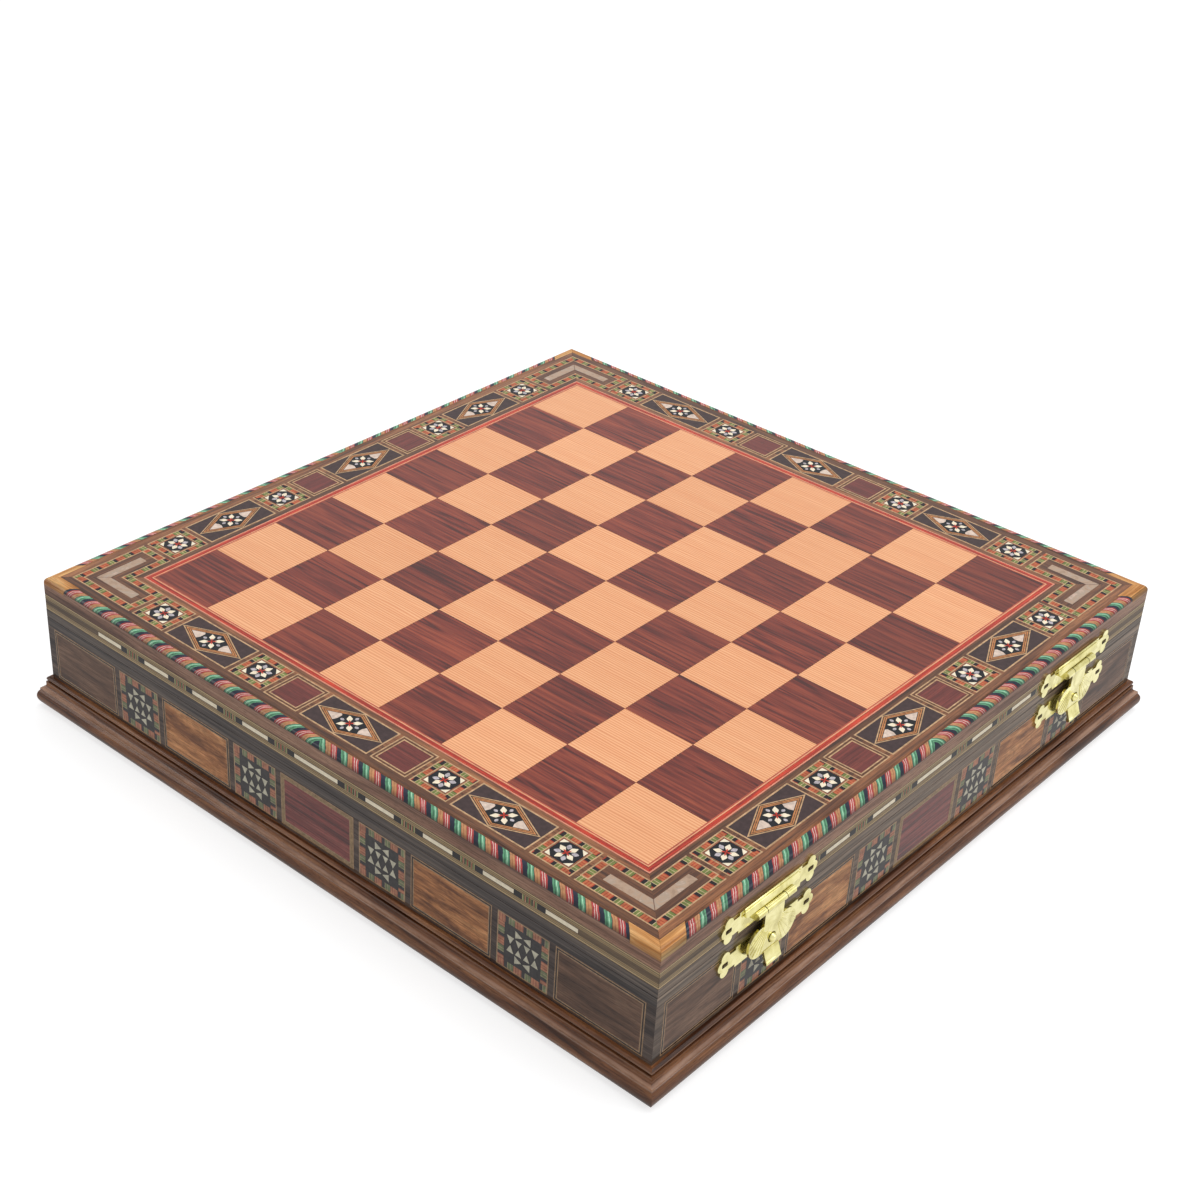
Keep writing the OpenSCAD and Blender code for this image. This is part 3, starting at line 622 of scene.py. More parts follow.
def arrow(name, size, material):
    """A triangle as wide as it is high, pointing along +y, centred on its cell."""
    scale, place = (size * MM / 3 ** 0.5, size * MM / 1.5, 1), (0, -size * MM / 6, 0)
    piece = formed(name, bpy.ops.mesh.primitive_circle_add, scale, place, vertices=3, radius=1,
                   fill_type="NGON")
    return thicken(use(piece, material), 2 * PROUD)


def arrow_places(cells, turns):
    """Each (column, row, quarter turns) in cells from the middle, turned with the whole pattern."""
    return [place @ turned(90 * turn) @ moved(column * CELL, row * CELL) @ turned(90 * point)
            for place in mosaic_places for turn in turns for column, row, point in cells]


MOSAIC_PALE = chip("mosaic_pale", (200, 194, 172), 0.25)
mosaic_places = mirrored(on_side, PANEL_MIDDLE, *MOSAIC_AT)
dress(BLOCK_BLACK, "side_mosaic_panels")
laid("mosaic_squares", "base", "mosaic",
     (block_ring("mosaic_square", SQUARE_PANEL, SQUARE_PANEL, FADED_BLOCKS, 0.4, 2.7, BLACK), mosaic_places))
laid("mosaic_arrows", "base", "bone",
     (arrow("outer_arrow", 3.0, MOSAIC_PALE), arrow_places(((-1.5, 0.5, 2), (-1.5, -0.5, 0)), SIDES)),
     (arrow("inner_arrow", 2.6, MOSAIC_PALE),
      arrow_places(((-0.5, 0.5, 2), (0.5, 0.5, 2), (-0.5, -0.5, 0), (0.5, -0.5, 0)), (0,))))

# ---- rails, core and lining of the lid
# Mitred walnut rails round a plain board. Under the band of bone bars they carry a strip of the
# same grey-black veneer as the base.

RAIL_STRIP = (30, 44.0)
RAIL_TONES = ((98, 66, 52), (148, 110, 90), (170, 132, 108))
# Painted light: the strip on the front and back rails takes the paler tones, as on the walls.
dress_lengths("lid_rail", "rail_walnut", banded_wall,
              (RAIL_STRIP, 11.0, RAIL_TONES, PAINTED_LIT_STRIP), (RAIL_STRIP, 12.0, RAIL_TONES, STRIP_TONES))

# ---- playing field
# Sixty-four squares of veneer under gloss lacquer: pale straight-grained pine and dark rosewood,
# each square cut from another place of the sheet. The grain runs away from the clasps.

SQUARE = 30.0


def square_bench(name):
    """The bench, a number for each square, and the place moved up by it, so that each shows other grain."""
    bench = Bench(name, coat=TOP_COAT, coat_rough=0.03)
    column, row = (bench.maths("FLOOR", bench.maths("DIVIDE", bench.axes()[axis], SQUARE * MM))
                   for axis in (0, 1))
    joined = bench.add("CombineXYZ", {0: column, 1: row}).outputs[0]
    number = bench.add("TexWhiteNoise", {"Vector": joined}, noise_dimensions="2D").outputs["Value"]
    rise = bench.add("CombineXYZ", {2: bench.maths("MULTIPLY", number, 3.0)}).outputs[0]
    return bench, number, bench.add("VectorMath", {0: bench.place, 1: rise}, operation="ADD").outputs[0]


TOP_COAT = 0.78
PINE_RINGS = 1.15


def pale_squares():
    bench, number, place = square_bench("pale_squares")
    x = bench.axes()[0]
    drift = bench.noise((6, 60, 20), 2.0, place=place)
    lines = bench.maths("MULTIPLY", x, 2 * pi / (PINE_RINGS * MM))
    lines = bench.maths("SINE", bench.maths("ADD", lines, bench.maths("MULTIPLY", drift, 14.0)))
    broad = bench.noise((5, 90, 20), 2.0, place=place)
    thread = bench.noise((0.3, 14, 20), 2.0, place=place)
    colour = bench.ramp(bench.between(lines, 0.0, 1.0, -1.0, 1.0),
                        [(0.0, shade(222, 150, 104)), (0.5, shade(239, 171, 122)),
                         (1.0, shade(247, 186, 138))])
    colour = bench.tinted(0.6, colour, broad, (0.3, (0.97, 0.88, 0.82)), (0.7, (1.03, 1.06, 1.06)))
    colour = bench.tinted(0.5, colour, thread, (0.3, (0.86, 0.8, 0.74)), (0.6, 1.04))
    colour = bench.tinted(1.0, colour, number, (0.0, (0.95, 0.93, 0.91)), (1.0, 1.02))
    bench.bump(thread, 0.04, 0.03)
    return bench.finish(colour, bench.between(thread, 0.25, 0.35))


def dark_squares():
    bench, number, place = square_bench("dark_squares")
    streak = bench.noise((3.0, 70, 20), 3.0, 0.6, 1.6, place=place)
    fine = bench.noise((0.55, 30, 20), 2.0, place=place)
    colour = bench.ramp(streak, [(0.34, shade(74, 20, 15)), (0.46, shade(114, 40, 28)),
                                 (0.56, shade(136, 56, 37)), (0.72, shade(156, 72, 45))])
    colour = bench.tinted(0.6, colour, fine, (0.32, (0.55, 0.48, 0.46)), (0.6, 1.1))
    colour = bench.tinted(1.0, colour, number, (0.0, (0.84, 0.8, 0.8)), (1.0, 1.08))
    bench.bump(fine, 0.04, 0.03)
    return bench.finish(colour, bench.between(fine, 0.25, 0.35))


dress(pale_squares(), "light_squares")
dress(dark_squares(), "dark_squares")

# ---- lines round the field
# A fine dark line, a pale one, a broad brick-red one and a fine pink one, all of dyed veneer,
# round the squares.

dress(chip("field_line", (236, 166, 124), 0.15, 6, TOP_COAT), "field_pale_lines")


def fine_ring(name, half, width, look, colour, spread):
    """A square ring of veneer line, and its place flat on the top."""
    piece = use(sheet_of(name, 2 * half, 2 * half), chip(look, colour, spread, 3, TOP_COAT))
    return thicken(rings(piece, (0, width), None)), [moved(0, 0, TOP)]


TOP = 58.0
dress_round("field_red_line", "field_red",
            veneer((150, 30, 14), (196, 52, 26), (214, 72, 38), figure=2, reach=40), TOP_COAT)
laid("fine_field_lines", "lid", "rosewood",
     fine_ring("inner_fine_line", 120.3, 0.5, "fine_dark_red", (186, 84, 60), 0.3),
     fine_ring("outer_fine_line", 123.0, 0.4, "fine_pink", (226, 140, 116), 0.2))

# ---- border of the board
# Reddish walnut ground with a seat cut in it for every tile, mitred at the corners. Its tone
# changes across each length, as it does from heart to sap.

SEATS_FROM, SEATS_TO = 125.0, 142.0


def ground_walnut(bench, grain):
    colour, thread = timber(bench, grain, (74, 41, 23), (118, 74, 45), (146, 96, 60),
                            figure=2.2, reach=40)
    inner, outer = (0.72, 1.3) if grain == "x" else (1.4, 0.78)
    tone = bench.between(bench.out(1 - "xy".index(grain)), inner, outer, SEATS_FROM, SEATS_TO)
    grey = bench.add("CombineXYZ", {0: tone, 1: tone, 2: tone})
    return bench.mix("MULTIPLY", 1.0, colour, grey.outputs[0]), thread


dress_round("border_ground", "border_walnut", ground_walnut, TOP_COAT)

# ---- star tiles
# Squares of mosaic: a strip of dyed blocks, a thin orange line and a black field with cream
# corners and a star of eight petals, four long ones of bone and four round ones of shell.

BAND_MIDDLE = 133.5
STAR_LENGTH, BAND_WIDTH = 17.0, 16.2
STAR_AT = (44.8, 98.0)
STAR_LINE, STAR_BLOCKS, STAR_EDGE = 0.5, 1.9, 0.55
STAR_FIELD_X, STAR_FIELD_Y = (full / 2 - 2 * STAR_LINE - STAR_BLOCKS - STAR_EDGE
                              for full in (STAR_LENGTH, BAND_WIDTH))
BONE = chip("bone", (246, 232, 204), 0.12)
SHELL_GREY = chip("grey_shell", (190, 182, 186), 0.35, 0.9)
STAR_RED = chip("star_red", (196, 60, 44))
STAR_BLACK = chip("star_black", (24, 26, 32))


def on_top(turn, across, out):
    """A place on the top: across along the side, out from the middle of the board."""
    return turned(90 * turn) @ moved(across, -out, TOP)


def field_corner(leg):
    """A cream triangle with two equal legs, its square corner at the origin."""
    middle = moved(leg / 2, leg / 2)
    piece = shifted(use(sheet_of("field_corner", leg, leg), BONE), middle)
    with opened(piece):
        saw(middle.translation, (1, 1, 0), True)
    return thicken(piece, 2 * PROUD)


def petal(start, tip, width, blunt, angle, material, layer):
    """A leaf of veneer from start to tip, its widest part a little outwards."""
    length = tip - start
    piece = use(lozenge_of("petal", length, width), material)
    with opened(piece):
        bpy.ops.mesh.bevel(offset=blunt * MM, segments=2, affect="VERTICES")
    return shifted(thicken(piece, layer * PROUD), turned(angle) @ moved(start + length / 2, 0))


def star(name, cream_angle, tip, grey_start, grey_tip, grey_width):
    """Four long petals, four round ones between them, and a red dart on each long one's root."""
    parts = []
    for k in range(4):
        angle = cream_angle + 90 * k
        parts.append(petal(0.6, tip, 2.3, 0.3, angle, BONE, 2))
        parts.append(petal(grey_start, grey_tip, grey_width, 0.45, angle + 45, SHELL_GREY, 2))
        parts.append(petal(-0.1, 2.0, 0.75, 0.1, angle, STAR_RED, 3))
    pick(*parts)
    bpy.ops.object.join()
    parts[0].name = name
    return parts[0]


star_places = [[on_top(t, s * at, BAND_MIDDLE) for t in pair for s in (-1, 1) for at in STAR_AT]
               for pair in ((0, 2), (1, 3))]
all_stars = star_places[0] + star_places[1]
field_corners = [place @ moved(x * STAR_FIELD_X, y * STAR_FIELD_Y) @ turned(turn) for place in all_stars
                 for x, y, turn in ((-1, -1, 0), (1, -1, 90), (1, 1, 180), (-1, 1, 270))]
dress(BLOCK_BLACK, "star_tiles")
laid("star_tile_faces", "lid", "mosaic",
     (block_ring("star_face", STAR_LENGTH, BAND_WIDTH, (*BLOCKS, STAR_BLACK), STAR_LINE, STAR_BLOCKS,
                 (PALE, STAR_LINE), (BLACK, 0.15), (ORANGE, 0.2), (BLACK, 0.2), 6), all_stars))

# ---- diamond tiles
# Blue-black veneer with a rhombus on it, edged with lines of pale, dark and tan veneer; shell in
# its two sharp ends, cut round where it meets the black middle, and a small star there.

DIAMOND_LENGTH = 33.0
DIAMOND_AT = (-71.4, 0, 71.4)
BLUE_BLACK = chip("blue_black", (68, 52, 52), 0.3, 2)
RHOMBUS_LENGTH, RHOMBUS_WIDTH = 31.6, 15.0
RHOMBUS_LINES = ((0, 0.45), (1, 0.3), (2, 0.45), (1, 0.2), (2, 0.45), (1, 0.25))
SHELL_END, SHELL_ROUND = 5.3, 3.6


def diamond_rhombus():
    piece = use(lozenge_of("diamond_rhombus", RHOMBUS_LENGTH, RHOMBUS_WIDTH),
                PALE_LINE, DARK_LINE, chip("tan_line", (196, 132, 82)),
                chip("warm_shell", (222, 200, 184), 0.25, 1.5))
    return thicken(rings(piece, *RHOMBUS_LINES, 3), 2 * PROUD)


def diamond_middle():
    """The black middle: a rhombus cut off by a round hollow for each shell end."""
    border = sum(width for _, width in RHOMBUS_LINES)
    inner = 1 - border / (RHOMBUS_WIDTH / 2) * (1 + (RHOMBUS_WIDTH / RHOMBUS_LENGTH) ** 2) ** 0.5
    piece = use(lozenge_of("diamond_middle", RHOMBUS_LENGTH * inner, RHOMBUS_WIDTH * inner), STAR_BLACK)
    with opened(piece):
        for side in (-1, 1):
            for k in range(-3, 4):
                lean = radians(24 * k)
                outward = Vector((side * cos(lean), sin(lean), 0))
                centre = Vector((side * (SHELL_END + SHELL_ROUND) * MM, 0, 0))
                saw(centre - outward * SHELL_ROUND * MM, outward)
    with opened(piece):
        bpy.ops.mesh.select_mode(type="FACE")
        bpy.ops.mesh.select_all(action="DESELECT")
    for face in piece.data.polygons:
        x, y = abs(face.center.x) / MM, face.center.y / MM
        inside = (x - SHELL_END - SHELL_ROUND) ** 2 + y ** 2 < (SHELL_ROUND * 1.02) ** 2
        face.select = inside or x > SHELL_END + SHELL_ROUND / 2
    with opened(piece, None):
        bpy.ops.mesh.delete(type="FACE")
    return thicken(piece, 3 * PROUD)


diamond_places = [on_top(turn, at, BAND_MIDDLE) for turn in SIDES for at in DIAMOND_AT]
diamond_face = use(sheet_of("diamond_face", DIAMOND_LENGTH, BAND_WIDTH), PALE_LINE, BLUE_BLACK)
dress(BLUE_BLACK, "diamond_tiles")
laid("diamond_tile_faces", "lid", "mosaic",
     (thicken(rings(diamond_face, (0, 0.6), 1)), diamond_places),
     (diamond_rhombus(), diamond_places),
     (diamond_middle(), diamond_places))
raised_places = [place @ moved(0, 0, 2 * PROUD) for place in diamond_places]
laid("inlaid_stars", "lid", "bone",
     (field_corner(2.3), field_corners),
     (star("front_star", 22.5, 4.4, 1.5, 4.4, 2.1), star_places[0]),
     (star("side_star", 67.5, 4.4, 1.5, 4.4, 2.1), star_places[1]),
     (star("small_star", 45, 4.7, 2.5, 4.6, 1.6), raised_places))

# ---- red tiles
# Red-stained veneer in two pale lines with a walnut strip between them.

RED_LENGTH = 16.6
RED_AT = 26.4


dress_round("red_tiles", "red_tile_wood",
            veneer((94, 34, 30), (112, 44, 38), (128, 56, 46), figure=1.8, reach=60, shift=4), TOP_COAT)
walnut_line = chip("walnut_line", (104, 68, 48))
laid("red_tile_lines", "lid", "boxwood",
     (line_frame("red_frame", (RED_LENGTH, BAND_WIDTH), PALE_LINE, 0.5, walnut_line, 0.8),
      mirrored(on_top, BAND_MIDDLE, RED_AT)))

# ---- corner tiles and chevrons
# L-shaped tiles of walnut edged with the strip of dyed blocks. A chevron of pale mother-of-pearl
# lies in each, mitred at its corner.

CORNER_IN, CORNER_OUT, CORNER_END = 125.4, 141.6, 108.1
STRIP_LINE, STRIP_BLOCKS = 0.5, 2.4
STRIP_WIDTH = 2 * STRIP_LINE + STRIP_BLOCKS
STRIP_HALF = STRIP_WIDTH / 2


def block_strip(name, low, high, start, low_slope, high_slope):
    """A strip of dyed blocks between two pale lines, along x, its ends cut square or at 45 degrees."""
    piece = use(sheet_of(name, high - low + STRIP_WIDTH, STRIP_WIDTH), *BLOCKS)
    shifted(piece, moved((low + high) / 2, 0))
    inner = STRIP_BLOCKS / 2
    cut(piece, "y", (-inner, inner))
    cut(piece, "x", block_edges(low - STRIP_HALF, high + STRIP_HALF, start))
    colour_by(piece, lambda x, y: PALE if abs(y) > inner else block_at(x, start))
    with opened(piece):
        for end, slope, outward in ((low, low_slope, -1), (high, high_slope, 1)):
            saw((end * MM, 0, 0), (outward, slope, 0), True)
    return thicken(piece)


dress_round("corner_tiles", "corner_walnut",
            veneer((62, 34, 20), (104, 64, 40), (128, 84, 54), figure=2, reach=30, shift=7), TOP_COAT)
outer_at, inner_at, end_at = CORNER_OUT - STRIP_HALF, CORNER_IN + STRIP_HALF, CORNER_END + STRIP_HALF
end_low, end_high = CORNER_IN + STRIP_WIDTH, CORNER_OUT - STRIP_WIDTH
laid("corner_strips", "lid", "mosaic",
     *((block_strip(name, low, high, start, *slopes), [on_top(turn, 0, out) for turn in SIDES])
       for name, low, high, start, slopes, out in (
           ("outer_left", -outer_at, -CORNER_END, 0.6, (1, 0), outer_at),
           ("outer_right", CORNER_END, outer_at, 0.6, (0, 1), outer_at),
           ("inner_left", -inner_at, -CORNER_END, 2.0, (1, 0), inner_at),
           ("inner_right", CORNER_END, inner_at, 2.0, (0, 1), inner_at),
           ("end_left", end_low, end_high, 3.1, (0, 0), -end_at),
           ("end_right", end_low, end_high, 3.1, (0, 0), end_at))))


def mother_of_pearl():
    bench = Bench("mother_of_pearl", coat=TOP_COAT)
    cloud = bench.noise((5, 5, 5), 3.0, 0.6, 1.5)
    fine = bench.noise((0.7, 0.7, 0.7), 2.0)
    colour = bench.ramp(cloud, [(0.3, shade(158, 130, 108)), (0.48, shade(182, 152, 128)),
                                (0.6, shade(172, 152, 134)), (0.72, shade(202, 172, 152))])
    colour = bench.tinted(0.4, colour, fine, (0.3, 0.85), (0.7, 1.05))
    x, y, _ = bench.axes()
    mitre = bench.off(bench.maths("ABSOLUTE", x), bench.maths("ABSOLUTE", y))
    colour = bench.mix("MIX", bench.between(mitre, 0.85, 0.0, 0.12 * MM, 0.3 * MM), colour, shade(96, 56, 34))
    bench.bump(cloud, 0.05, 0.05)
    return bench.finish(colour, bench.between(fine, 0.2, 0.3))


dress(mother_of_pearl(), "shell_chevrons")

# ---- striped edge
# Strips of dyed veneers glued side by side and sawn across, wrapped over the lid's rounded edge.
# On top the stripes lean towards the middle of each side at 45 degrees, and run straight down its face.

STRIPE_PERIOD = 10.45
NIGHT, ROSE, WHITE = shade(40, 46, 62), shade(184, 70, 68), shade(232, 200, 190)
TAN, BROWN = shade(200, 144, 100), shade(160, 98, 62)
LEAF, MINT, MOSS = shade(100, 160, 122), shade(172, 222, 186), shade(44, 84, 66)
STRIPES = ((NIGHT, 1.35), (ROSE, 0.8), (WHITE, 0.35), (ROSE, 0.7), (WHITE, 0.35), (ROSE, 0.8), (BROWN, 0.25),
           (TAN, 1.0), (BROWN, 0.2), (TAN, 0.9), (NIGHT, 0.3), (LEAF, 0.7), (MINT, 0.45), (LEAF, 0.55),
           (MOSS, 0.3), (LEAF, 0.75), (NIGHT, 0.7))
STRIPE_START = 137.2
STRIPED_ABOVE, STRIPED_OUTSIDE = 56.1, 145.6


def striped_edge(name, grain):
    """The stripes follow each other along the grain's axis. Walnut borders them."""
    bench = Bench(name, coat=0.55, coat_rough=0.05)
    lengthwise = "xy".index(grain)
    run, out, height = bench.out(lengthwise), bench.out(1 - lengthwise), bench.millimetres(2)
    leaning = bench.maths("ADD", run, bench.maths("SUBTRACT", FACE_HALF, out))
    wobble = bench.noise((3, 3, 3), 1.0)
    place = bench.maths("ADD", leaning, bench.between(wobble, -0.2, 0.2))
    inwards = bench.maths("SUBTRACT", STRIPE_START + 20 * STRIPE_PERIOD, place)
    part = bench.maths("FRACT", bench.maths("DIVIDE", inwards, STRIPE_PERIOD))
    stops, at = [], 0.0
    for colour, width in STRIPES:
        stops.append((at / STRIPE_PERIOD, colour))
        at += width
    colour = bench.ramp(part, stops, hard=True)
    cloud = bench.noise((1.5, 1.5, 1.5))
    colour = bench.tinted(0.8, colour, cloud, (0.3, 0.62), (0.7, 1.1))
    # Painted shade: the stripes darken down the face towards the lower end of the striped part.
    painted_edge_shade = bench.between(height, 0.75, 0.0, STRIPED_ABOVE, STRIPED_ABOVE + 1.5)
    colour = bench.mix("MULTIPLY", painted_edge_shade, colour, shade(140, 128, 120))
    plain, _ = timber(bench, grain, *RAIL_TONES, figure=3.6, reach=60)
    on_top_face = bench.maths("GREATER_THAN", height, TOP - 0.05)
    ground, _ = ground_walnut(bench, grain)
    plain = bench.mix("MIX", on_top_face, plain, ground)
    joint = bench.between(bench.off(height, STRIPED_ABOVE), 0.8, 0.0, 0.1, 0.4)
    plain = bench.mix("MIX", joint, plain, shade(60, 42, 34))
    striped = bench.maths("MULTIPLY", bench.maths("GREATER_THAN", height, STRIPED_ABOVE),
                          bench.maths("GREATER_THAN", out, STRIPED_OUTSIDE))
    colour = bench.mix("MIX", striped, plain, colour)
    bench.bump(cloud, 0.06, 0.05)
    return bench.finish(colour, bench.between(cloud, 0.25, 0.4))


dress_lengths("edge_strip", "striped_edge", striped_edge, (), ())

# ---- boxwood corners
# Two lengths of boxwood mitred at each corner, where the striped strips end.


def corner_boxwood(bench, grain):
    colour, thread = timber(bench, grain, (178, 116, 58), (210, 152, 92), (234, 190, 132),
                            figure=2.4, reach=24, pores=0.15)
    # Painted shade: the faces below the top are darkened, the front and back ones more than the ends.
    below_top = bench.maths("LESS_THAN", bench.axes()[2], (TOP - 0.6) * MM)
    painted_side_shade = bench.maths("MULTIPLY", below_top, 0.9 if grain == "x" else 0.35)
    return bench.mix("MULTIPLY", painted_side_shade, colour, shade(196, 200, 196)), thread


dress_round("corner_blocks", "corner_boxwood", corner_boxwood)

# ---- band round the lid
# Layered brown and greenish veneer let into the rails. Bone bars lie along its middle; between
# them stand dark blocks and short groups of thin stripes. Two pale lines run above and below.

BAND_LOW, BAND_HIGH = 44.0, 50.8
BAND_CENTRE = (BAND_LOW + BAND_HIGH) / 2
GAP_LENGTH, GAP_HEIGHT = 13.35, 2.4
GAP_FIRST, GAP_STEP, GAP_COUNT = 17.375, 26.65, 4
GAP_DARK = 3.0
GAP_STRIPES = ((5, 0.55), (0, 0.25), (2, 0.7), (1, 0.5), (0, 0.25), (5, 0.55), (2, 0.5), (1, 0.75), (2, 0.5),
               (5, 0.55), (0, 0.25), (1, 0.5), (2, 0.7), (0, 0.25), (5, 0.55))
PALE_LAYER = shade(222, 194, 144)


def band_layers(bench, grain):
    """Thin layers that lie over each other: olive, brown and black, with fine pale ones between."""
    colour, thread = timber(bench, grain, (104, 82, 60), (148, 120, 90), (174, 146, 110),
                            figure=0.7, reach=80)
    height = bench.maths("MULTIPLY", bench.maths("SUBTRACT", bench.axes()[2], BAND_LOW * MM), 1 / MM)
    share = bench.maths("DIVIDE", height, BAND_HIGH - BAND_LOW, clamp=True)
    black, olive, brown = shade(56, 46, 38), shade(166, 148, 106), shade(130, 98, 70)
    layers = bench.ramp(share, [(0.0, black), (0.05, PALE_LAYER), (0.11, black), (0.15, olive), (0.22, brown),
                                (0.27, olive), (0.32, black), (0.68, olive), (0.73, brown), (0.78, olive),
                                (0.85, black), (0.89, PALE_LAYER), (0.95, black)], hard=True)
    return bench.mix("MIX", 0.62, colour, layers), thread


def gap_blocks():
    """What fills the gap between two bone bars: dark block, stripes, dark block."""
    piece = use(sheet_of("gap_blocks", GAP_LENGTH, GAP_HEIGHT),
                chip("muted_cream", (190, 170, 128)), chip("muted_red", (146, 70, 56)),
                chip("muted_green", (112, 124, 74)), BLOCK_BLACK, PALE_LINE, DARK_LINE)
    at = GAP_DARK - GAP_LENGTH / 2
    ends = [(at, 3)]
    for number, width in GAP_STRIPES:
        at += width
        ends.append((at, number))
    cut(piece, "x", [end for end, _ in ends])
    return thicken(colour_by(piece, lambda x, y: next((number for end, number in ends if x < end), 3)))


dress_round("side_band", "band_layers", band_layers)
dress(BONE, "bone_bars")
gaps = [GAP_FIRST + GAP_STEP * k for k in range(GAP_COUNT)]
laid("band_blocks", "lid", "mosaic", (gap_blocks(), mirrored(on_side, BAND_CENTRE, *gaps)))

# ---- hinges and clasps
# Pressed brass, polished and lacquered. The hinges' leaves are let into wall and rail and
# screwed down; the clasps' plates lie on the front, and a nail holds each end in its slot.


def brass(name, rough=0.16):
    bench = Bench(name, rough=rough, coat=0.2, coat_rough=0.1, specular=0.5, metallic=1.0)
    cloud = bench.noise((4.5, 4.5, 4.5), 2.5, 0.5, 0.6)
    brush = bench.noise((5, 0.4, 0.2), 2.0)
    colour = bench.ramp(cloud, [(0.32, (0.56, 0.50, 0.19, 1)), (0.48, (0.70, 0.64, 0.27, 1)),
                                (0.64, (0.80, 0.74, 0.36, 1))])
    bench.bump(bench.maths("ADD", cloud, bench.maths("MULTIPLY", brush, 0.2)), 0.2, 0.1)
    return bench.finish(colour, bench.between(cloud, rough * 1.5, rough * 0.8))


CLASP_BRASS = brass("clasp_brass")
for kind, material in (("hinge_", brass("hinge_brass", 0.22)), ("clasp_", CLASP_BRASS)):
    dress(material, *(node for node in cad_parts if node.startswith(kind)))

# ---- nails in the clasps' slots
# Each lobed end of a plate has a stamped slot, dark inside, with the small flat head of a nail in it.

CLASP_AT = 95.0
UPPER_PLATE, LOWER_PLATE = 47.1, 33.4
NAIL_AT = 21.43
PLATE_FACE = 0.8
SLOT_LENGTH, SLOT_WIDTH, SLOT_CORNER = 2.9, 1.7, 0.45
NAIL_INSET, NAIL_HEIGHT, NAIL_EDGE = 0.42, 0.22, 0.12


def slot_dark():
    bench = Bench("slot_patina", rough=0.5, coat=0.1, metallic=0.6)
    cloud = bench.noise((0.6, 0.6, 0.6))
    bench.bump(cloud, 0.4, 0.05)
    return bench.finish(bench.ramp(cloud, [(0.3, shade(44, 34, 22)), (0.7, shade(104, 88, 50))]))


def stamped_slot():
    """A sunk field with rounded corners, and a low nail head standing in it."""
    piece = use(sheet_of("stamped_slot", SLOT_LENGTH, SLOT_WIDTH), SLOT_PATINA, CLASP_BRASS)
    with opened(piece):
        bpy.ops.mesh.bevel(offset=SLOT_CORNER * MM, segments=3, affect="VERTICES")
        bpy.ops.mesh.select_mode(type="FACE")
        bpy.ops.mesh.select_all(action="SELECT")
        bpy.ops.mesh.inset(thickness=NAIL_INSET * MM)
        bpy.ops.mesh.extrude_region_move(TRANSFORM_OT_translate={"value": (0, 0, NAIL_HEIGHT * MM)})
        bpy.ops.mesh.inset(thickness=NAIL_EDGE * MM)
    return thicken(piece, 0.04, 0.3)


def on_front(side, across, height, off):
    """A place off the clasp side's face, across and up from the middle of one clasp."""
    return on_side(0, side * CLASP_AT + across, height) @ moved(0, 0, off)


SLOT_PATINA = slot_dark()
for plate, body_name in ((UPPER_PLATE, "lid"), (LOWER_PLATE, "base")):
    places = [on_front(s, e * NAIL_AT, plate, PLATE_FACE) for s in (-1, 1) for e in (-1, 1)]
    nails = laid(f"{body_name}_nail_slots", body_name, "brass", (stamped_slot(), places))
    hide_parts(f"clasp_{body_name}_nails")

# ---- embossing of the clasps
# The upper plate's top edge is folded over, the fan of the tongue has embossed rays, its lip ends in
# a roll, and the keeper's ball looks out of the hole that it holds the tongue by.

APRON_LENGTH, APRON_LOW, APRON_HIGH, APRON_THICK, APRON_FALL = 28.0, 48.25, 50.45, 1.3, 0.8
ROLL_HEIGHT, ROLL_R = 50.95, 0.42
TONGUE_FACE = 2.95
LOBE_ACROSS, LOBE_HEIGHT = 6.5, 34.5
RAY_FROM, RAY_START, RAY_REACH = (1.0, 41.5), 0.36, 5.2
RAY_ANGLES = (-98, -74, -50, -26, -2, 22)
BALL_HEIGHT, BALL_R, BALL_OFF, BALL_NECK, NECK_BELOW = 33.1, 1.6, 2.95, 0.72, 0.3
LIP_END_HEIGHT, LIP_END_OFF, LIP_ROLL_R, LIP_WIDTH = 24.7, 4.0, 0.95, 7.8


def rod(name, length, radius, soften):
    """A round rod along x with softened ends."""
    piece = use(formed(name, bpy.ops.mesh.primitive_cylinder_add, turn=(0, pi / 2, 0), vertices=16,
                       radius=radius * MM, depth=length * MM), CLASP_BRASS)
    rounding = piece.modifiers.new("rounding", "BEVEL")
    rounding.limit_method = "ANGLE"
    rounding.angle_limit = radians(60)
    rounding.width = soften * MM
    rounding.segments = 2
    bpy.ops.object.modifier_apply(modifier=rounding.name)
    bpy.ops.object.shade_smooth_by_angle(angle=radians(50))
    return piece


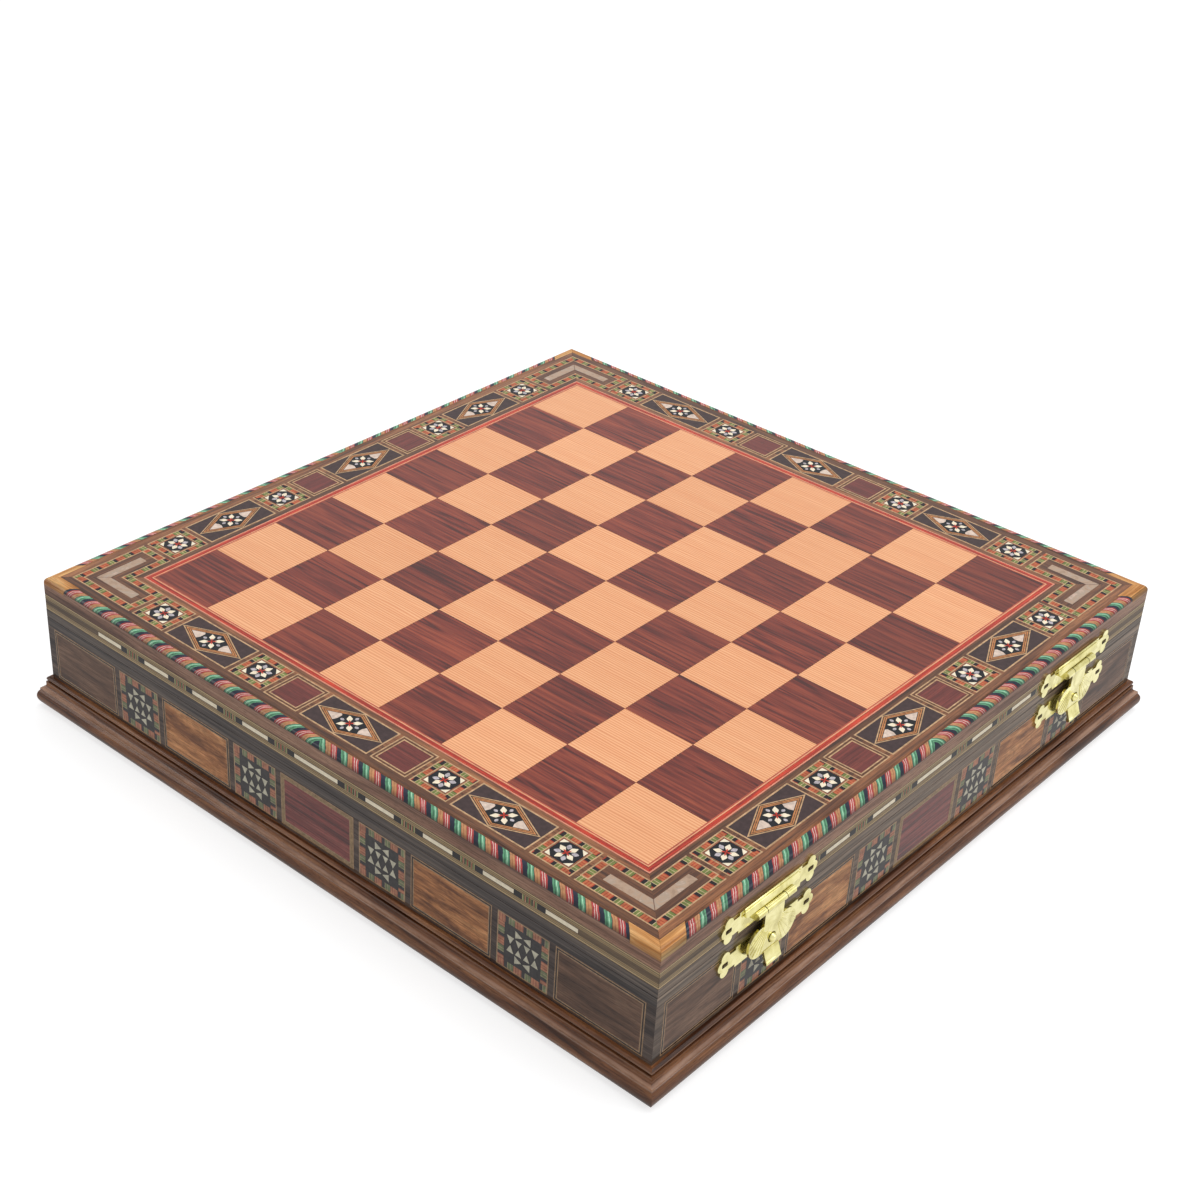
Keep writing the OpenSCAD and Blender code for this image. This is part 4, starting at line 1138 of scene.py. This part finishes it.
def apron():
    """The sheet of the upper plate, folded down over its top edge and out over the barrel."""
    size = (APRON_LENGTH * MM, (APRON_HIGH - APRON_LOW) * MM, APRON_THICK * MM)
    piece = formed("apron", bpy.ops.mesh.primitive_cube_add, size, (0, 0, size[2] / 2), size=1)
    use(piece, CLASP_BRASS)
    for corner in piece.data.vertices:
        if corner.co.y > 0 and corner.co.z > 0.5 * APRON_THICK * MM:
            corner.co.z -= APRON_FALL * MM
    with opened(piece):
        bpy.ops.mesh.bevel(offset=0.22 * MM, segments=3)
    bpy.ops.object.shade_smooth_by_angle(angle=radians(40))
    return piece


def ray_places(side):
    """Rays from the neck to the rim of both lobes of one tongue, as places for a rod 1 mm long."""
    spots = []
    for lobe in (-1, 1):
        for angle in RAY_ANGLES:
            rim = Vector((cos(radians(angle)), sin(radians(angle)))) * RAY_REACH
            end = Vector((LOBE_ACROSS, LOBE_HEIGHT)) + rim
            start = Vector(RAY_FROM).lerp(end, RAY_START)
            ray, middle = end - start, (start + end) / 2
            spots.append(on_front(side, lobe * middle.x, middle.y, TONGUE_FACE)
                         @ Matrix.Rotation(lobe * ray.angle_signed(Vector((1, 0))), 4, "Z")
                         @ Matrix.Scale(ray.length, 4, (1, 0, 0)))
    return spots


def keeper_ball():
    """A ball drawn in to a neck where it leaves the plate."""
    piece = use(formed("keeper_ball", bpy.ops.mesh.primitive_uv_sphere_add, segments=24, ring_count=14,
                       radius=BALL_R * MM), CLASP_BRASS)
    for corner in piece.data.vertices:
        if corner.co.z < -NECK_BELOW * BALL_R * MM:
            corner.co.xy *= BALL_NECK
    bpy.ops.object.shade_smooth()
    return piece


def on_both(height, off):
    return [on_front(side, 0, height, off) for side in (-1, 1)]


laid("folded_edges", "lid", "brass",
     (apron(), on_both((APRON_LOW + APRON_HIGH) / 2, PLATE_FACE)),
     (rod("folded_edge", APRON_LENGTH, ROLL_R, 0.15), on_both(ROLL_HEIGHT, PLATE_FACE)))
laid("keeper_balls", "base", "brass", (keeper_ball(), on_both(BALL_HEIGHT, BALL_OFF)))
for side, side_name in ((-1, "left"), (1, "right")):
    laid(f"{side_name}_tongue_embossing", f"{side_name}_tongue", "brass",
         (rod("ray", 1.0, 0.2, 0.05), ray_places(side)),
         (rod("lip_roll", LIP_WIDTH, LIP_ROLL_R, 0.25), [on_front(side, 0, LIP_END_HEIGHT, LIP_END_OFF)]))
